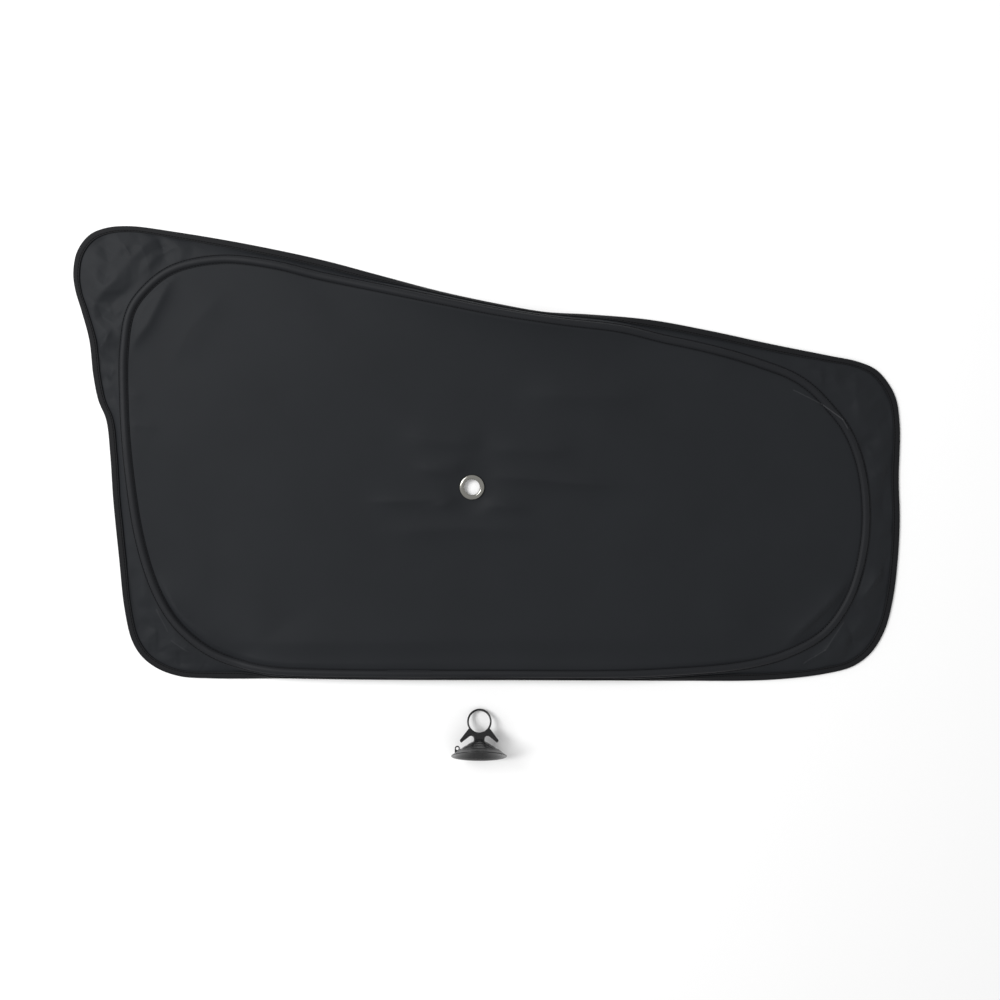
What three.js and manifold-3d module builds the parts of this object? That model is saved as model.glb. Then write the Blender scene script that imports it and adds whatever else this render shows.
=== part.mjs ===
// Car side window sunshade: a cloth panel on a sprung steel hoop, bound along its
// edge, with an eyelet in its middle and a loose suction cup.
// Millimetres, +Z up. The shade lies on its back; plan positions are measured
// from the middle of the eyelet, +X towards the front of the car, +Y up the door.

import * as THREE from 'three';
import { LoftGeometry } from 'three/addons/geometries/LoftGeometry.js';
import { mergeVertices } from 'three/addons/utils/BufferGeometryUtils.js';
import Module from 'manifold-3d';

const wasm = await Module();
wasm.setup();

// Clearance between parts that lie on or in each other
const FIT = 0.2;

// Cut outline of the shade, clockwise from the rear upper ear
const OUTLINE = [
  [-399, 215], [-395, 236], [-383, 252], [-367, 259], [-343, 261],
  [-296, 255], [-227, 243.3], [-152, 227.5], [-92, 211.6], [-32, 195.8],
  [28, 183], [73, 175.3], [118, 172.6], [178, 167.2], [238, 156.2],
  [298, 143.2], [358, 131.2], [386, 125.4], [404, 117.5], [416, 104.5],
  [424, 89], [428, 62], [427, 7], [428, -33], [426, -73],
  [421, -113], [413, -143], [400, -165], [382, -179], [353, -187],
  [298, -193], [208, -194], [88, -193.4], [-62, -193], [-182, -191.8],
  [-262, -191.5], [-292, -189.5], [-314, -182], [-330, -170], [-340.5, -153],
  [-348, -120], [-353, -73], [-359, -13], [-362, 32], [-366, 67],
  [-374, 87], [-379, 112], [-383, 147], [-391, 177], [-397, 197]
];

// Stations round the outline, spaced closer where it bends
const STATIONS = 136;
const EVENNESS = 0.55;

// Middle of the spring hoop, clockwise from its rear upper corner
const HOOP = [
  [-328, 195], [-300, 217], [-252, 227.5], [-200, 222.5], [-152, 211],
  [-92, 198.5], [-32, 186], [28, 174], [88, 165], [148, 158],
  [192, 147.8], [228, 140.2], [262, 131.5], [291, 122.2], [317, 112.3],
  [337, 99.7], [357, 79.5], [374, 57], [386, 28], [392.5, -10], [391.5, -55],
  [379, -105], [356, -141], [330, -159], [286, -174.5], [188, -183],
  [18, -184], [-142, -183.3], [-200, -181], [-232, -175.5], [-258, -166],
  [-279, -152], [-297, -134], [-311, -112], [-322, -86], [-333, -45],
  [-341.5, 14], [-347, 87], [-347, 140], [-341, 175]
];
const HOOP_SAMPLES = 1600;

// Height of the hoop above the ground, and the places where it bows up.
// Where the outline comes near, the skirt hangs steep and the hoop stands higher.
const HOOP_REST = 4.2;
const HOOP_BOWS = [
  { at: [55, 170], spread: 125, rise: 4, tilt: 30 },
  { at: [90, -184], spread: 190, rise: 1, tilt: 8 },
  { at: [-345, 45], spread: 75, rise: 1.5, tilt: 8 }
];
const SKIRT_REACH = 11;
const SKIRT_LIFT = 0.8;

// Cloth of the panel
const CLOTH = 0.4;
const PANEL_LEVEL = 4.6;
const EYELET_LEVEL = 3.6;
const PANEL_RINGS = [0.1, 0.24, 0.4, 0.56, 0.7, 0.82, 0.92];
const FLAT_RADIUS = 14;
const RUFFLE = 1.3;
const RUFFLE_COUNT = 27;

// Folds pressed in the panel: a ridge or a valley between two points
const FOLDS = [
  { from: [-12, -10], to: [-94, -16], width: 7, rise: -1.1 },
  { from: [12, 6], to: [165, -3], width: 7, rise: 1.2 },
  { from: [10, -13], to: [77, -42], width: 7, rise: -1 },
  { from: [-76, 50], to: [-17, 44], width: 9, rise: 0.9 },
  { from: [35, 41], to: [165, 29], width: 11, rise: -1 },
  { from: [59, 85], to: [165, 83], width: 13, rise: -0.8 },
  { from: [-99, -65], to: [-11, -49], width: 10, rise: -0.8 },
  { from: [-322, 142], to: [-287, 202], width: 8, rise: 1.2 },
  { from: [-307, -98], to: [-237, -160], width: 9, rise: 1.2 },
  { from: [313, -150], to: [372, -98], width: 9, rise: 1.4 }
];

// Spring wire and the sleeve that joins its ends
const WIRE_RADIUS = 1;
const WIRE_SIDES = 8;
const SLEEVE_WALL = 0.3;
const SLEEVE_LENGTH = 25;
const WIRE_JOIN_AT = [60, -193];

// Tape that holds the wire, sewn down along both its edges
const TAPE = 0.35;
const TAPE_HALF_WIDTH = 4.7;
const ARCH_FOOT = 3;
const TAPE_START_AT = [-40, -193];
const TAPE_END_AT = [-82, -193];

// Binding folded over the edge of the cloth
const BINDING = 0.5;
const BINDING_WIDTH = 7;
const BINDING_JOIN_AT = [156, 169];
const FLAT_SLOPE = THREE.MathUtils.degToRad(8);
const STEEP_SLOPE = THREE.MathUtils.degToRad(65);

// Eyelet and its washer
const BORE_RADIUS = 7.8;
const BARREL_WALL = 0.4;
const EYELET_SHEET = 0.5;
const FLANGE_RADIUS = 12.65;
const FLANGE_RISE = 1.7;
const CURL_RADIUS = 10.4;
const WASHER_RADIUS = 12;
const WASHER = 0.5;

// Suction cup, measured from the middle of its lip along its axis
const LIP_RADIUS = 27.25;
const LIP = 1;
const CONE_HEIGHT = 14;
const RIB_RADII = [5.8, 11.8, 16.8, 22.3];
const RIB_STEP = 0.5;
const BOWL_WALL = 2.2;
const RING_CENTRE = 32.8;
const RING_RADIUS = 12.2;
const RING_BORE = 10.45;
const TAB_THICKNESS = 4;
const ARM_TIP = [17.6, 14.8];
const ARM_TIP_RADIUS = 1.45;
const LUG = { at: -21.4, width: 5, hole: 1.4, holeAt: 7.6, thickness: 2 };
const CUP_AT = [7.5, -261];

const BLACK_CLOTH = { color: 0x26282b, roughness: 0.62, metalness: 0 };
const BLACK_TAPE = { color: 0x1f2124, roughness: 0.7, metalness: 0 };
const SPRING_STEEL = { color: 0x8b8f94, roughness: 0.35, metalness: 1 };
const NICKEL = { color: 0xc9c9c4, roughness: 0.25, metalness: 1 };
const BLACK_VINYL = { color: 0x151617, roughness: 0.38, metalness: 0 };

const up = new THREE.Vector3(0, 0, 1);

function closedCurve(points) {
  const corners = points.map(([x, y]) => new THREE.Vector3(x, y, 0));
  return new THREE.CatmullRomCurve3(corners, true, 'centripetal');
}

const outlineCurve = closedCurve(OUTLINE);
const hoopPoints = closedCurve(HOOP).getPoints(HOOP_SAMPLES);

function nearestOnHoop(point) {
  const best = new THREE.Vector3();
  const trial = new THREE.Vector3();
  const span = new THREE.Line3();
  let nearest = Infinity;
  for (let i = 0; i < HOOP_SAMPLES; i++) {
    span.set(hoopPoints[i], hoopPoints[i + 1]).closestPointToPoint(point, true, trial);
    const distance = trial.distanceToSquared(point);
    if (distance < nearest) {
      nearest = distance;
      best.copy(trial);
    }
  }
  return best;
}

function bowAt(point, quantity) {
  let sum = 0;
  for (const bow of HOOP_BOWS) {
    const reach = Math.hypot(point.x - bow.at[0], point.y - bow.at[1]) / bow.spread;
    sum += bow[quantity] * Math.exp(-reach * reach);
  }
  return sum;
}

function reliefAt(x, y) {
  let height = 0;
  for (const fold of FOLDS) {
    const run = new THREE.Vector2(fold.to[0] - fold.from[0], fold.to[1] - fold.from[1]);
    const away = new THREE.Vector2(x - fold.from[0], y - fold.from[1]);
    const along = away.dot(run) / run.lengthSq();
    const across = away.cross(run) / run.length() / fold.width;
    const ends = Math.min(along, 1 - along);
    const fade = THREE.MathUtils.smoothstep(ends, -0.15, 0.2);
    height += fold.rise * fade * Math.exp(-across * across);
  }
  return height;
}

// Place on the outline, counted in stations from its first point
function outlineAt(count) {
  const turn = THREE.MathUtils.euclideanModulo(count, STATIONS) / STATIONS;
  const even = outlineCurve.getUtoTmapping(turn);
  return outlineCurve.getPoint(THREE.MathUtils.lerp(turn, even, EVENNESS));
}

function countNear([x, y]) {
  let nearest = 0;
  let least = Infinity;
  for (let count = 0; count < STATIONS; count += 0.05) {
    const point = outlineAt(count);
    const distance = Math.hypot(point.x - x, point.y - y);
    if (distance < least) {
      least = distance;
      nearest = count;
    }
  }
  return nearest;
}

// A station looks outwards, square to the hoop, at one place round the shade.
// Section points are given as [outwards, upwards] from the middle of the hoop.
function stationAt(count) {
  const turn = count / STATIONS;
  const edge = outlineAt(count);
  const hoop = nearestOnHoop(edge);
  const out = edge.clone().sub(hoop);
  const width = out.length();
  out.normalize();
  const room = SKIRT_REACH - (width - seamEdge - bindingHalf);
  const crowd = (room + Math.hypot(room, 2)) / 2;
  const height = HOOP_REST + bowAt(hoop, 'rise') + SKIRT_LIFT * crowd;
  const tilt = THREE.MathUtils.degToRad(bowAt(hoop, 'tilt'));
  const place = (a, h) => hoop.clone().addScaledVector(out, a).setZ(h);
  const onHoop = (a, h) => [
    a * Math.cos(tilt) + h * Math.sin(tilt),
    height - a * Math.sin(tilt) + h * Math.cos(tilt)
  ];
  const station = { turn, hoop, out, width, height, place, onHoop };
  station.edge = edgeOf(station);
  return station;
}

const clothHalf = CLOTH / 2;
const bindingGap = clothHalf + 2 * FIT;
const bindingHalf = bindingGap + BINDING;
const bindingBack = bindingHalf - BINDING_WIDTH;
const seamEdge = TAPE_HALF_WIDTH + 0.3;

// Last stretch of the skirt, which the binding folds over
function edgeOf(station) {
  const [a, h] = station.onHoop(seamEdge, 0);
  const fall = Math.atan2(h - bindingHalf, station.width - bindingHalf - a);
  const slope = fall * THREE.MathUtils.smoothstep(fall, FLAT_SLOPE, STEEP_SLOPE);
  const along = [Math.cos(slope), -Math.sin(slope)];
  const lowest = Math.max(
    bindingHalf * Math.cos(slope) + BINDING * 0.2 * Math.sin(slope),
    bindingHalf * Math.sin(slope) + BINDING * 0.6 * Math.cos(slope)
  );
  const end = [station.width - bindingHalf, lowest];
  const at = (d, m) => [
    end[0] + d * along[0] - m * along[1],
    end[1] + d * along[1] + m * along[0]
  ];
  return { slope, at };
}

function stationsFrom(start, end) {
  const counts = [start];
  for (let i = Math.floor(start) + 1; i < end - 0.02; i++) {
    counts.push(i);
  }
  return [...counts, end].map(stationAt);
}

function meshOf(name, geometry, finish) {
  geometry.deleteAttribute('normal');
  geometry.deleteAttribute('uv');
  const welded = mergeVertices(new THREE.BufferGeometry().copy(geometry), 1e-5);
  welded.computeVertexNormals();
  const mesh = new THREE.Mesh(welded, new THREE.MeshStandardMaterial(finish));
  mesh.name = name;
  return mesh;
}

// Each four-sided face is split on the same diagonal as the layers above and
// below it, so that layers keep their distance where the section twists
function loft(sections, caps) {
  const geometry = new LoftGeometry(sections, { capStart: caps, capEnd: caps });
  const corners = geometry.index;
  const columns = sections[0].length;
  for (let i = 0; i < sections.length - 1; i++) {
    for (let j = 0; j < columns; j++) {
      const here = sections[i][j];
      const next = sections[i][(j + 1) % columns];
      if (Math.hypot(next.x, next.y) > Math.hypot(here.x, here.y)) {
        const at = 6 * (i * columns + j);
        const [a, b, d, , c] = [0, 1, 2, 3, 4].map((k) => corners.getX(at + k));
        [a, b, c, a, c, d].forEach((corner, k) => corners.setX(at + k, corner));
      }
    }
  }
  return geometry;
}

function ringLoft(sections) {
  return loft([...sections, sections[0]], false);
}

function stripLoft(sections) {
  return loft(sections, true);
}

// Cloth, from the eyelet's hole to its edge inside the binding
const holeRadius = BORE_RADIUS + BARREL_WALL + FIT;

function clothMidline(station) {
  const [innerOut, innerUp] = station.onHoop(-seamEdge, 0);
  const [outerOut, outerUp] = station.onHoop(seamEdge, 0);
  const innerEdge = station.place(innerOut, innerUp);
  const reach = Math.hypot(innerEdge.x, innerEdge.y);
  const dir = new THREE.Vector3(innerEdge.x / reach, innerEdge.y / reach, 0);
  const line = [holeRadius, FLAT_RADIUS].map((r) => {
    return dir.clone().multiplyScalar(r).setZ(EYELET_LEVEL);
  });
  for (const g of PANEL_RINGS) {
    const point = dir.clone().multiplyScalar(FLAT_RADIUS + (reach - FLAT_RADIUS) * g);
    const level = THREE.MathUtils.lerp(EYELET_LEVEL, PANEL_LEVEL, Math.min(1, 2 * g));
    const lifted = (innerUp - level) * g ** 6;
    point.z = level + lifted + reliefAt(point.x, point.y) * (1 - g ** 8);
    line.push(point);
  }
  line.push(innerEdge, station.place(outerOut, outerUp));
  const mouth = station.edge.at(bindingBack - 1.5, 0);
  const skirt = mouth[0] - outerOut;
  const swell = (RUFFLE * Math.max(0, skirt)) / 40;
  for (const q of [0.33, 0.67]) {
    const wave = Math.sin(2 * Math.PI * (RUFFLE_COUNT * station.turn + q / 2));
    const a = THREE.MathUtils.lerp(outerOut, mouth[0], q);
    const h = THREE.MathUtils.lerp(outerUp, mouth[1], q);
    line.push(station.place(a, h + Math.min(swell, h - bindingHalf) * wave));
  }
  line.push(station.place(...mouth));
  line.push(station.place(...station.edge.at(bindingBack, 0)));
  line.push(station.place(...station.edge.at(-0.3, 0)));
  return line;
}

function clothSection(station) {
  const line = clothMidline(station);
  const top = [];
  const bottom = [];
  line.forEach((point, i) => {
    const before = line[Math.max(0, i - 1)];
    const after = line[Math.min(line.length - 1, i + 1)];
    const run = after.clone().sub(before).normalize();
    const normal = up.clone().addScaledVector(run, -run.z).normalize();
    top.push(point.clone().addScaledVector(normal, clothHalf));
    bottom.push(point.clone().addScaledVector(normal, -clothHalf));
  });
  return [...bottom, ...top.reverse()];
}

const round = stationsFrom(0, STATIONS - 1);
const panel = meshOf('shade_panel', ringLoft(round.map(clothSection)), BLACK_CLOTH);

// Wire, lying on the cloth inside the tape
const sleeveBore = WIRE_RADIUS + FIT;
const sleeveRadius = sleeveBore + SLEEVE_WALL;
const sleeveLevel = clothHalf + FIT + sleeveRadius;

function wireCentre(station) {
  return station.place(...station.onHoop(0, sleeveLevel));
}

function wireSection(station) {
  const points = [];
  for (let i = 0; i < WIRE_SIDES; i++) {
    const angle = (2 * Math.PI * i) / WIRE_SIDES;
    const a = WIRE_RADIUS * Math.cos(angle);
    const h = sleeveLevel + WIRE_RADIUS * Math.sin(angle);
    points.push(station.place(...station.onHoop(a, h)));
  }
  return points;
}

const wireJoin = countNear(WIRE_JOIN_AT);
const wireStations = stationsFrom(wireJoin, wireJoin + STATIONS - 0.02);
const springHoop = meshOf(
  'spring_hoop', stripLoft(wireStations.map(wireSection)), SPRING_STEEL
);

// Sleeve over the two ends of the wire
const sleeveProfile = [
  [sleeveBore, -SLEEVE_LENGTH / 2],
  [sleeveRadius, -SLEEVE_LENGTH / 2],
  [sleeveRadius, SLEEVE_LENGTH / 2],
  [sleeveBore, SLEEVE_LENGTH / 2],
  [sleeveBore, -SLEEVE_LENGTH / 2]
];
const hoopSleeve = meshOf(
  'hoop_sleeve',
  new THREE.LatheGeometry(sleeveProfile.map(([r, z]) => new THREE.Vector2(r, z)), 16),
  SPRING_STEEL
);
const sleeveStart = wireCentre(wireStations[STATIONS - 1]);
const sleeveMiddle = wireCentre(wireStations[0]);
const sleeveEnd = wireCentre(wireStations[1]);
const sleeveRun = sleeveEnd.clone().sub(sleeveMiddle).normalize();
sleeveRun.add(sleeveMiddle.clone().sub(sleeveStart).normalize()).normalize();
hoopSleeve.position.copy(sleeveMiddle);
hoopSleeve.quaternion.setFromUnitVectors(new THREE.Vector3(0, 1, 0), sleeveRun);

// Tape: flat edges and an arch over the sleeve, its end lapped over its start
const archTop = 2 * sleeveRadius + 2 * FIT;
const archProfile = [
  [-TAPE_HALF_WIDTH, FIT],
  [-ARCH_FOOT, FIT],
  [-ARCH_FOOT * 0.55, archTop],
  [ARCH_FOOT * 0.55, archTop],
  [ARCH_FOOT, FIT],
  [TAPE_HALF_WIDTH, FIT]
].map(([a, h]) => new THREE.Vector2(a, h + clothHalf));

function offsetProfile(profile, distance) {
  return profile.map((point, i) => {
    const before = profile[Math.max(0, i - 1)];
    const after = profile[Math.min(profile.length - 1, i + 1)];
    const first = (i > 0 ? point.clone().sub(before) : after.clone().sub(point)).normalize();
    const last = (point === after ? first : after.clone().sub(point).normalize());
    const mitre = new THREE.Vector2(-first.y - last.y, first.x + last.x);
    const half = mitre.length() / 2;
    return mitre.normalize().multiplyScalar(distance / half).add(point);
  });
}

function tapeSection(station, lift) {
  const inner = offsetProfile(archProfile, lift);
  const outer = offsetProfile(archProfile, lift + TAPE).reverse();
  return [...inner, ...outer].map((p) => station.place(...station.onHoop(p.x, p.y)));
}

const lapLift = TAPE + FIT;
const tapeStart = countNear(TAPE_START_AT);
const lapStart = tapeStart + STATIONS;
const lapEnd = countNear(TAPE_END_AT) + STATIONS;
const tapeSections = [
  ...stationsFrom(tapeStart, lapStart - 0.15).map((station) => tapeSection(station, 0)),
  ...stationsFrom(lapStart - 0.04, lapEnd).map((station) => {
    return tapeSection(station, lapLift);
  })
];
const hoopTape = meshOf('hoop_tape', stripLoft(tapeSections), BLACK_TAPE);

// Binding: a strip folded over the cloth's edge
function bindingSection(station) {
  const shape = [
    [bindingBack, bindingHalf], [BINDING * 0.2, bindingHalf],
    [bindingHalf, BINDING * 0.6], [bindingHalf, -BINDING * 0.6],
    [BINDING * 0.2, -bindingHalf], [bindingBack, -bindingHalf],
    [bindingBack, -bindingGap], [BINDING * 0.2, -bindingGap],
    [bindingGap, 0],
    [BINDING * 0.2, bindingGap], [bindingBack, bindingGap]
  ];
  return shape.map(([d, m]) => station.place(...station.edge.at(d, m))).reverse();
}

const bindingJoin = countNear(BINDING_JOIN_AT);
const bindingStations = stationsFrom(bindingJoin, bindingJoin + STATIONS - 0.02);
const binding = meshOf(
  'edge_binding', stripLoft(bindingStations.map(bindingSection)), BLACK_TAPE
);

// Eyelet: a domed flange and a barrel, set over the washer on the back
function turned(name, profile, segments, finish) {
  const points = profile.map(([r, z]) => new THREE.Vector2(r, z));
  points.push(points[0].clone());
  const mesh = meshOf(name, new THREE.LatheGeometry(points, segments), finish);
  mesh.rotation.x = Math.PI / 2;
  mesh.position.z = EYELET_LEVEL;
  return mesh;
}

const flangeFoot = clothHalf + FIT;
const washerTop = -clothHalf - FIT;
const curlTop = washerTop - WASHER - FIT;
const barrelRadius = BORE_RADIUS + BARREL_WALL;
const eyelet = turned('eyelet', [
  [BORE_RADIUS, curlTop - EYELET_SHEET],
  [CURL_RADIUS, curlTop - EYELET_SHEET],
  [CURL_RADIUS, curlTop],
  [barrelRadius, curlTop],
  [barrelRadius, flangeFoot + 0.3],
  [FLANGE_RADIUS - 2.2, flangeFoot + FLANGE_RISE - 0.9],
  [FLANGE_RADIUS - 0.9, flangeFoot],
  [FLANGE_RADIUS, flangeFoot],
  [FLANGE_RADIUS - 0.7, flangeFoot + FLANGE_RISE - 0.5],
  [FLANGE_RADIUS - 2.4, flangeFoot + FLANGE_RISE],
  [barrelRadius + 0.5, flangeFoot + FLANGE_RISE - 0.3],
  [BORE_RADIUS, flangeFoot + 0.4]
], 48, NICKEL);
const washer = turned('eyelet_washer', [
  [barrelRadius + FIT, washerTop - WASHER],
  [WASHER_RADIUS, washerTop - WASHER],
  [WASHER_RADIUS, washerTop],
  [barrelRadius + FIT, washerTop]
], 48, NICKEL);

// Suction cup: a stepped cone, a flat tab with two arms and a finger ring
function solidOf(geometry) {
  geometry.deleteAttribute('normal');
  geometry.deleteAttribute('uv');
  const welded = mergeVertices(geometry, 1e-5);
  return new wasm.Manifold(new wasm.Mesh({
    numProp: 3,
    vertProperties: welded.attributes.position.array,
    triVerts: new Uint32Array(welded.index.array)
  }));
}

function coneHeightAt(radius) {
  const share = (LIP_RADIUS - radius) / (LIP_RADIUS - RIB_RADII[0]);
  return LIP + (CONE_HEIGHT - LIP) * share;
}

function cupProfile() {
  const profile = [[0, CONE_HEIGHT - BOWL_WALL]];
  for (const r of [RIB_RADII[0], RIB_RADII[1], RIB_RADII[2], RIB_RADII[3]]) {
    profile.push([r, coneHeightAt(r) - BOWL_WALL]);
  }
  profile.push([LIP_RADIUS - LIP, 0], [LIP_RADIUS, 0], [LIP_RADIUS, LIP]);
  for (const r of [...RIB_RADII].reverse()) {
    profile.push([r, coneHeightAt(r)], [r, coneHeightAt(r) + RIB_STEP]);
  }
  profile.push([TAB_THICKNESS / 2 - 0.4, CONE_HEIGHT + 3], [0, CONE_HEIGHT + 3.2]);
  return profile.map(([r, z]) => new THREE.Vector2(r, z));
}

function tabShape() {
  const [tipX, tipY] = ARM_TIP;
  const neck = RIB_RADII[0] - 0.5;
  const foot = CONE_HEIGHT - BOWL_WALL + 0.8;
  const root = THREE.MathUtils.degToRad(-32);
  const rootX = RING_RADIUS * Math.cos(root);
  const rootY = RING_CENTRE + RING_RADIUS * Math.sin(root);
  const armAngle = Math.atan2(rootY - tipY, rootX - tipX) - Math.PI / 2;
  const shape = new THREE.Shape();
  shape.moveTo(-neck, foot);
  shape.lineTo(neck, foot);
  shape.lineTo(neck, CONE_HEIGHT + 2.2);
  shape.bezierCurveTo(neck + 0.2, 19.7, neck + 3, 19.9, neck + 4.5, 18.9);
  shape.absarc(tipX, tipY, ARM_TIP_RADIUS, armAngle + Math.PI, armAngle, false);
  shape.absarc(0, RING_CENTRE, RING_RADIUS, root, Math.PI - root, false);
  shape.absarc(-tipX, tipY, ARM_TIP_RADIUS, Math.PI - armAngle, -armAngle, false);
  shape.lineTo(-neck - 4.5, 18.9);
  shape.bezierCurveTo(-neck - 3, 19.9, -neck - 0.2, 19.7, -neck, CONE_HEIGHT + 2.2);
  const bore = new THREE.Path();
  bore.absarc(0, RING_CENTRE, RING_BORE, 0, 2 * Math.PI, false);
  shape.holes.push(bore);
  return shape;
}

function lugShape() {
  const half = LUG.width / 2;
  const shape = new THREE.Shape();
  shape.moveTo(LUG.at - half, coneHeightAt(-LUG.at + half) - 0.4);
  shape.lineTo(LUG.at + half, coneHeightAt(-LUG.at - half) - 0.4);
  shape.lineTo(LUG.at + half, LUG.holeAt);
  shape.absarc(LUG.at, LUG.holeAt, half, 0, Math.PI, false);
  const hole = new THREE.Path();
  hole.absarc(LUG.at, LUG.holeAt, LUG.hole, 0, 2 * Math.PI, false);
  shape.holes.push(hole);
  return shape;
}

function plate(shape, thickness, curveSegments) {
  const geometry = new THREE.ExtrudeGeometry(shape, {
    depth: thickness, bevelEnabled: false, curveSegments
  });
  return geometry.translate(0, 0, -thickness / 2);
}

const cone = solidOf(new THREE.LatheGeometry(cupProfile(), 64));
const tab = solidOf(plate(tabShape(), TAB_THICKNESS, 20));
const lug = solidOf(plate(lugShape(), LUG.thickness, 8));
const cupSolid = cone.add(tab).add(lug).getMesh();
const cupGeometry = new THREE.BufferGeometry();
cupGeometry.setAttribute(
  'position', new THREE.BufferAttribute(cupSolid.vertProperties, cupSolid.numProp)
);
cupGeometry.setIndex(new THREE.BufferAttribute(cupSolid.triVerts, 1));
cupGeometry.computeVertexNormals();
const cup = new THREE.Mesh(cupGeometry, new THREE.MeshStandardMaterial(BLACK_VINYL));
cup.name = 'suction_cup';

// The cup lies on its lip and its ring, with the ring towards the shade
const ringTip = RING_CENTRE + RING_RADIUS;
const cupLean = Math.atan2(LIP_RADIUS - TAB_THICKNESS / 2, ringTip - LIP);
const cupLevel = LIP_RADIUS * Math.cos(cupLean) + LIP * Math.sin(cupLean);
cup.rotation.x = -cupLean;
cup.position.set(CUP_AT[0], CUP_AT[1], cupLevel);

const shade = new THREE.Group();
shade.name = 'shade';
shade.add(panel, hoopTape, springHoop, hoopSleeve, binding, eyelet, washer);

// Everything together, centred over its origin and standing on z = 0
const group = new THREE.Group();
group.name = 'side_window_sunshade';
group.add(shade, cup);
group.updateMatrixWorld(true);
const box = new THREE.Box3().setFromObject(group, true);
const middle = box.getCenter(new THREE.Vector3());
for (const part of [shade, cup]) {
  part.position.x -= middle.x;
  part.position.y -= middle.y;
  part.position.z -= box.min.z;
}

export default group;
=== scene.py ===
"""Car side window sunshade: taut cloth on a sprung hoop, bound edge, eyelet, suction cup.

Shapes are laid out in millimetres from the middle of the eyelet, with +X along the
shade, +Y across it and +Z up. They become metres in the frame of the solids when a
mesh is made.
"""

import logging
import math
from dataclasses import dataclass, field
from enum import Enum

import bpy
import numpy as np
from mathutils import Matrix, Vector


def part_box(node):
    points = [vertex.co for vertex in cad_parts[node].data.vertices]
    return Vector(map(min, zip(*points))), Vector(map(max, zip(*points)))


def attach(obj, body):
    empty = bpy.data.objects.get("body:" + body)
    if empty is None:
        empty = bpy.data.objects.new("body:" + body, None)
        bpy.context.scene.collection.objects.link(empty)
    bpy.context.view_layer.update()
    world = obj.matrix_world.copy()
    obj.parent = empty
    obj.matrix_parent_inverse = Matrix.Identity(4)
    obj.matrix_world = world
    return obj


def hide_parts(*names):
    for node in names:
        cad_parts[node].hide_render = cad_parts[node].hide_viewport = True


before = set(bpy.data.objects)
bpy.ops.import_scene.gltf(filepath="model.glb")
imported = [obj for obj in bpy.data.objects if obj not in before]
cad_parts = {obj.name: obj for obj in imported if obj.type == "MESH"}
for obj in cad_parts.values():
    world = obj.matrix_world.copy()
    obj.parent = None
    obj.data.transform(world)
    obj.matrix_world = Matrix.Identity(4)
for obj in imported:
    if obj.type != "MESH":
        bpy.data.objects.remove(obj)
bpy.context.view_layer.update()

log = logging.getLogger("sunshade")

MM = 0.001
Pair = tuple[float, float]

OUTLINE: list[Pair] = [
    (-399, 215), (-395, 236), (-383, 252), (-367, 259), (-343, 261),
    (-296, 255), (-227, 243.3), (-152, 227.5), (-92, 211.6), (-32, 195.8),
    (28, 183), (73, 175.3), (118, 172.6), (178, 167.2), (238, 156.2),
    (298, 143.2), (358, 131.2), (386, 125.4), (404, 117.5), (416, 104.5),
    (424, 89), (428, 62), (427, 7), (428, -33), (426, -73),
    (421, -113), (413, -143), (400, -165), (382, -179), (353, -187),
    (298, -193), (208, -194), (88, -193.4), (-62, -193), (-182, -191.8),
    (-262, -191.5), (-292, -189.5), (-314, -182), (-330, -170), (-340.5, -153),
    (-348, -120), (-353, -73), (-359, -13), (-362, 32), (-366, 67),
    (-374, 87), (-379, 112), (-383, 147), (-391, 177), (-397, 197),
]

HOOP: list[Pair] = [
    (-328, 195), (-300, 217), (-252, 227.5), (-200, 222.5), (-152, 211),
    (-92, 198.5), (-32, 186), (28, 174), (88, 165), (148, 158),
    (192, 147.8), (228, 140.2), (262, 131.5), (291, 122.2), (317, 112.3),
    (337, 99.7), (357, 79.5), (374, 57), (386, 28), (392.5, -10), (391.5, -55),
    (379, -105), (356, -141), (330, -159), (286, -174.5), (188, -183),
    (18, -184), (-142, -183.3), (-200, -181), (-232, -175.5), (-258, -166),
    (-279, -152), (-297, -134), (-311, -112), (-322, -86), (-333, -45),
    (-341.5, 14), (-347, 87), (-347, 140), (-341, 175),
]


class Wrap(Enum):
    """Which ways a grid of points closes on itself."""

    NONE = "none"
    ROWS = "rows"
    COLUMNS = "columns"
    BOTH = "both"


def eyelet_place() -> Vector:
    """Return the middle of the eyelet in the frame of the solids, in metres."""
    low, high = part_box("eyelet")
    return Vector(((low[0] + high[0]) / 2, (low[1] + high[1]) / 2, 0.0))


ORIGIN = eyelet_place()


def smoothstep(value: np.ndarray, low: float, high: float) -> np.ndarray:
    """Ease from 0 to 1 between two limits.

    Args:
        value: the numbers to ease.
        low: where the result leaves 0.
        high: where the result reaches 1.

    Returns:
        The eased numbers.
    """
    share = np.clip((value - low) / (high - low), 0.0, 1.0)
    return share * share * (3.0 - 2.0 * share)


def closed_curve(corners: list[Pair], steps: int) -> np.ndarray:
    """Run a smooth closed curve through corners, tightest where they are close.

    Args:
        corners: points on the curve, in order.
        steps: points to make between one corner and the next.

    Returns:
        The points of the curve, one row each.
    """
    b = np.asarray(corners, float)
    a, c, d = np.roll(b, 1, 0), np.roll(b, -1, 0), np.roll(b, -2, 0)
    ab, bc, cd = (
        np.sqrt(np.linalg.norm(q - p, axis=1))[:, None] for p, q in ((a, b), (b, c), (c, d))
    )
    leave = ((b - a) / ab - (c - a) / (ab + bc) + (c - b) / bc) * bc
    reach = ((c - b) / bc - (d - b) / (bc + cd) + (d - c) / cd) * bc
    t = np.linspace(0.0, 1.0, steps, endpoint=False)[None, :, None]
    p, q, m, n = b[:, None], c[:, None], leave[:, None], reach[:, None]
    curve = p + m * t + (3 * (q - p) - 2 * m - n) * t**2 + (2 * (p - q) + m + n) * t**3
    return curve.reshape(-1, 2)


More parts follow.
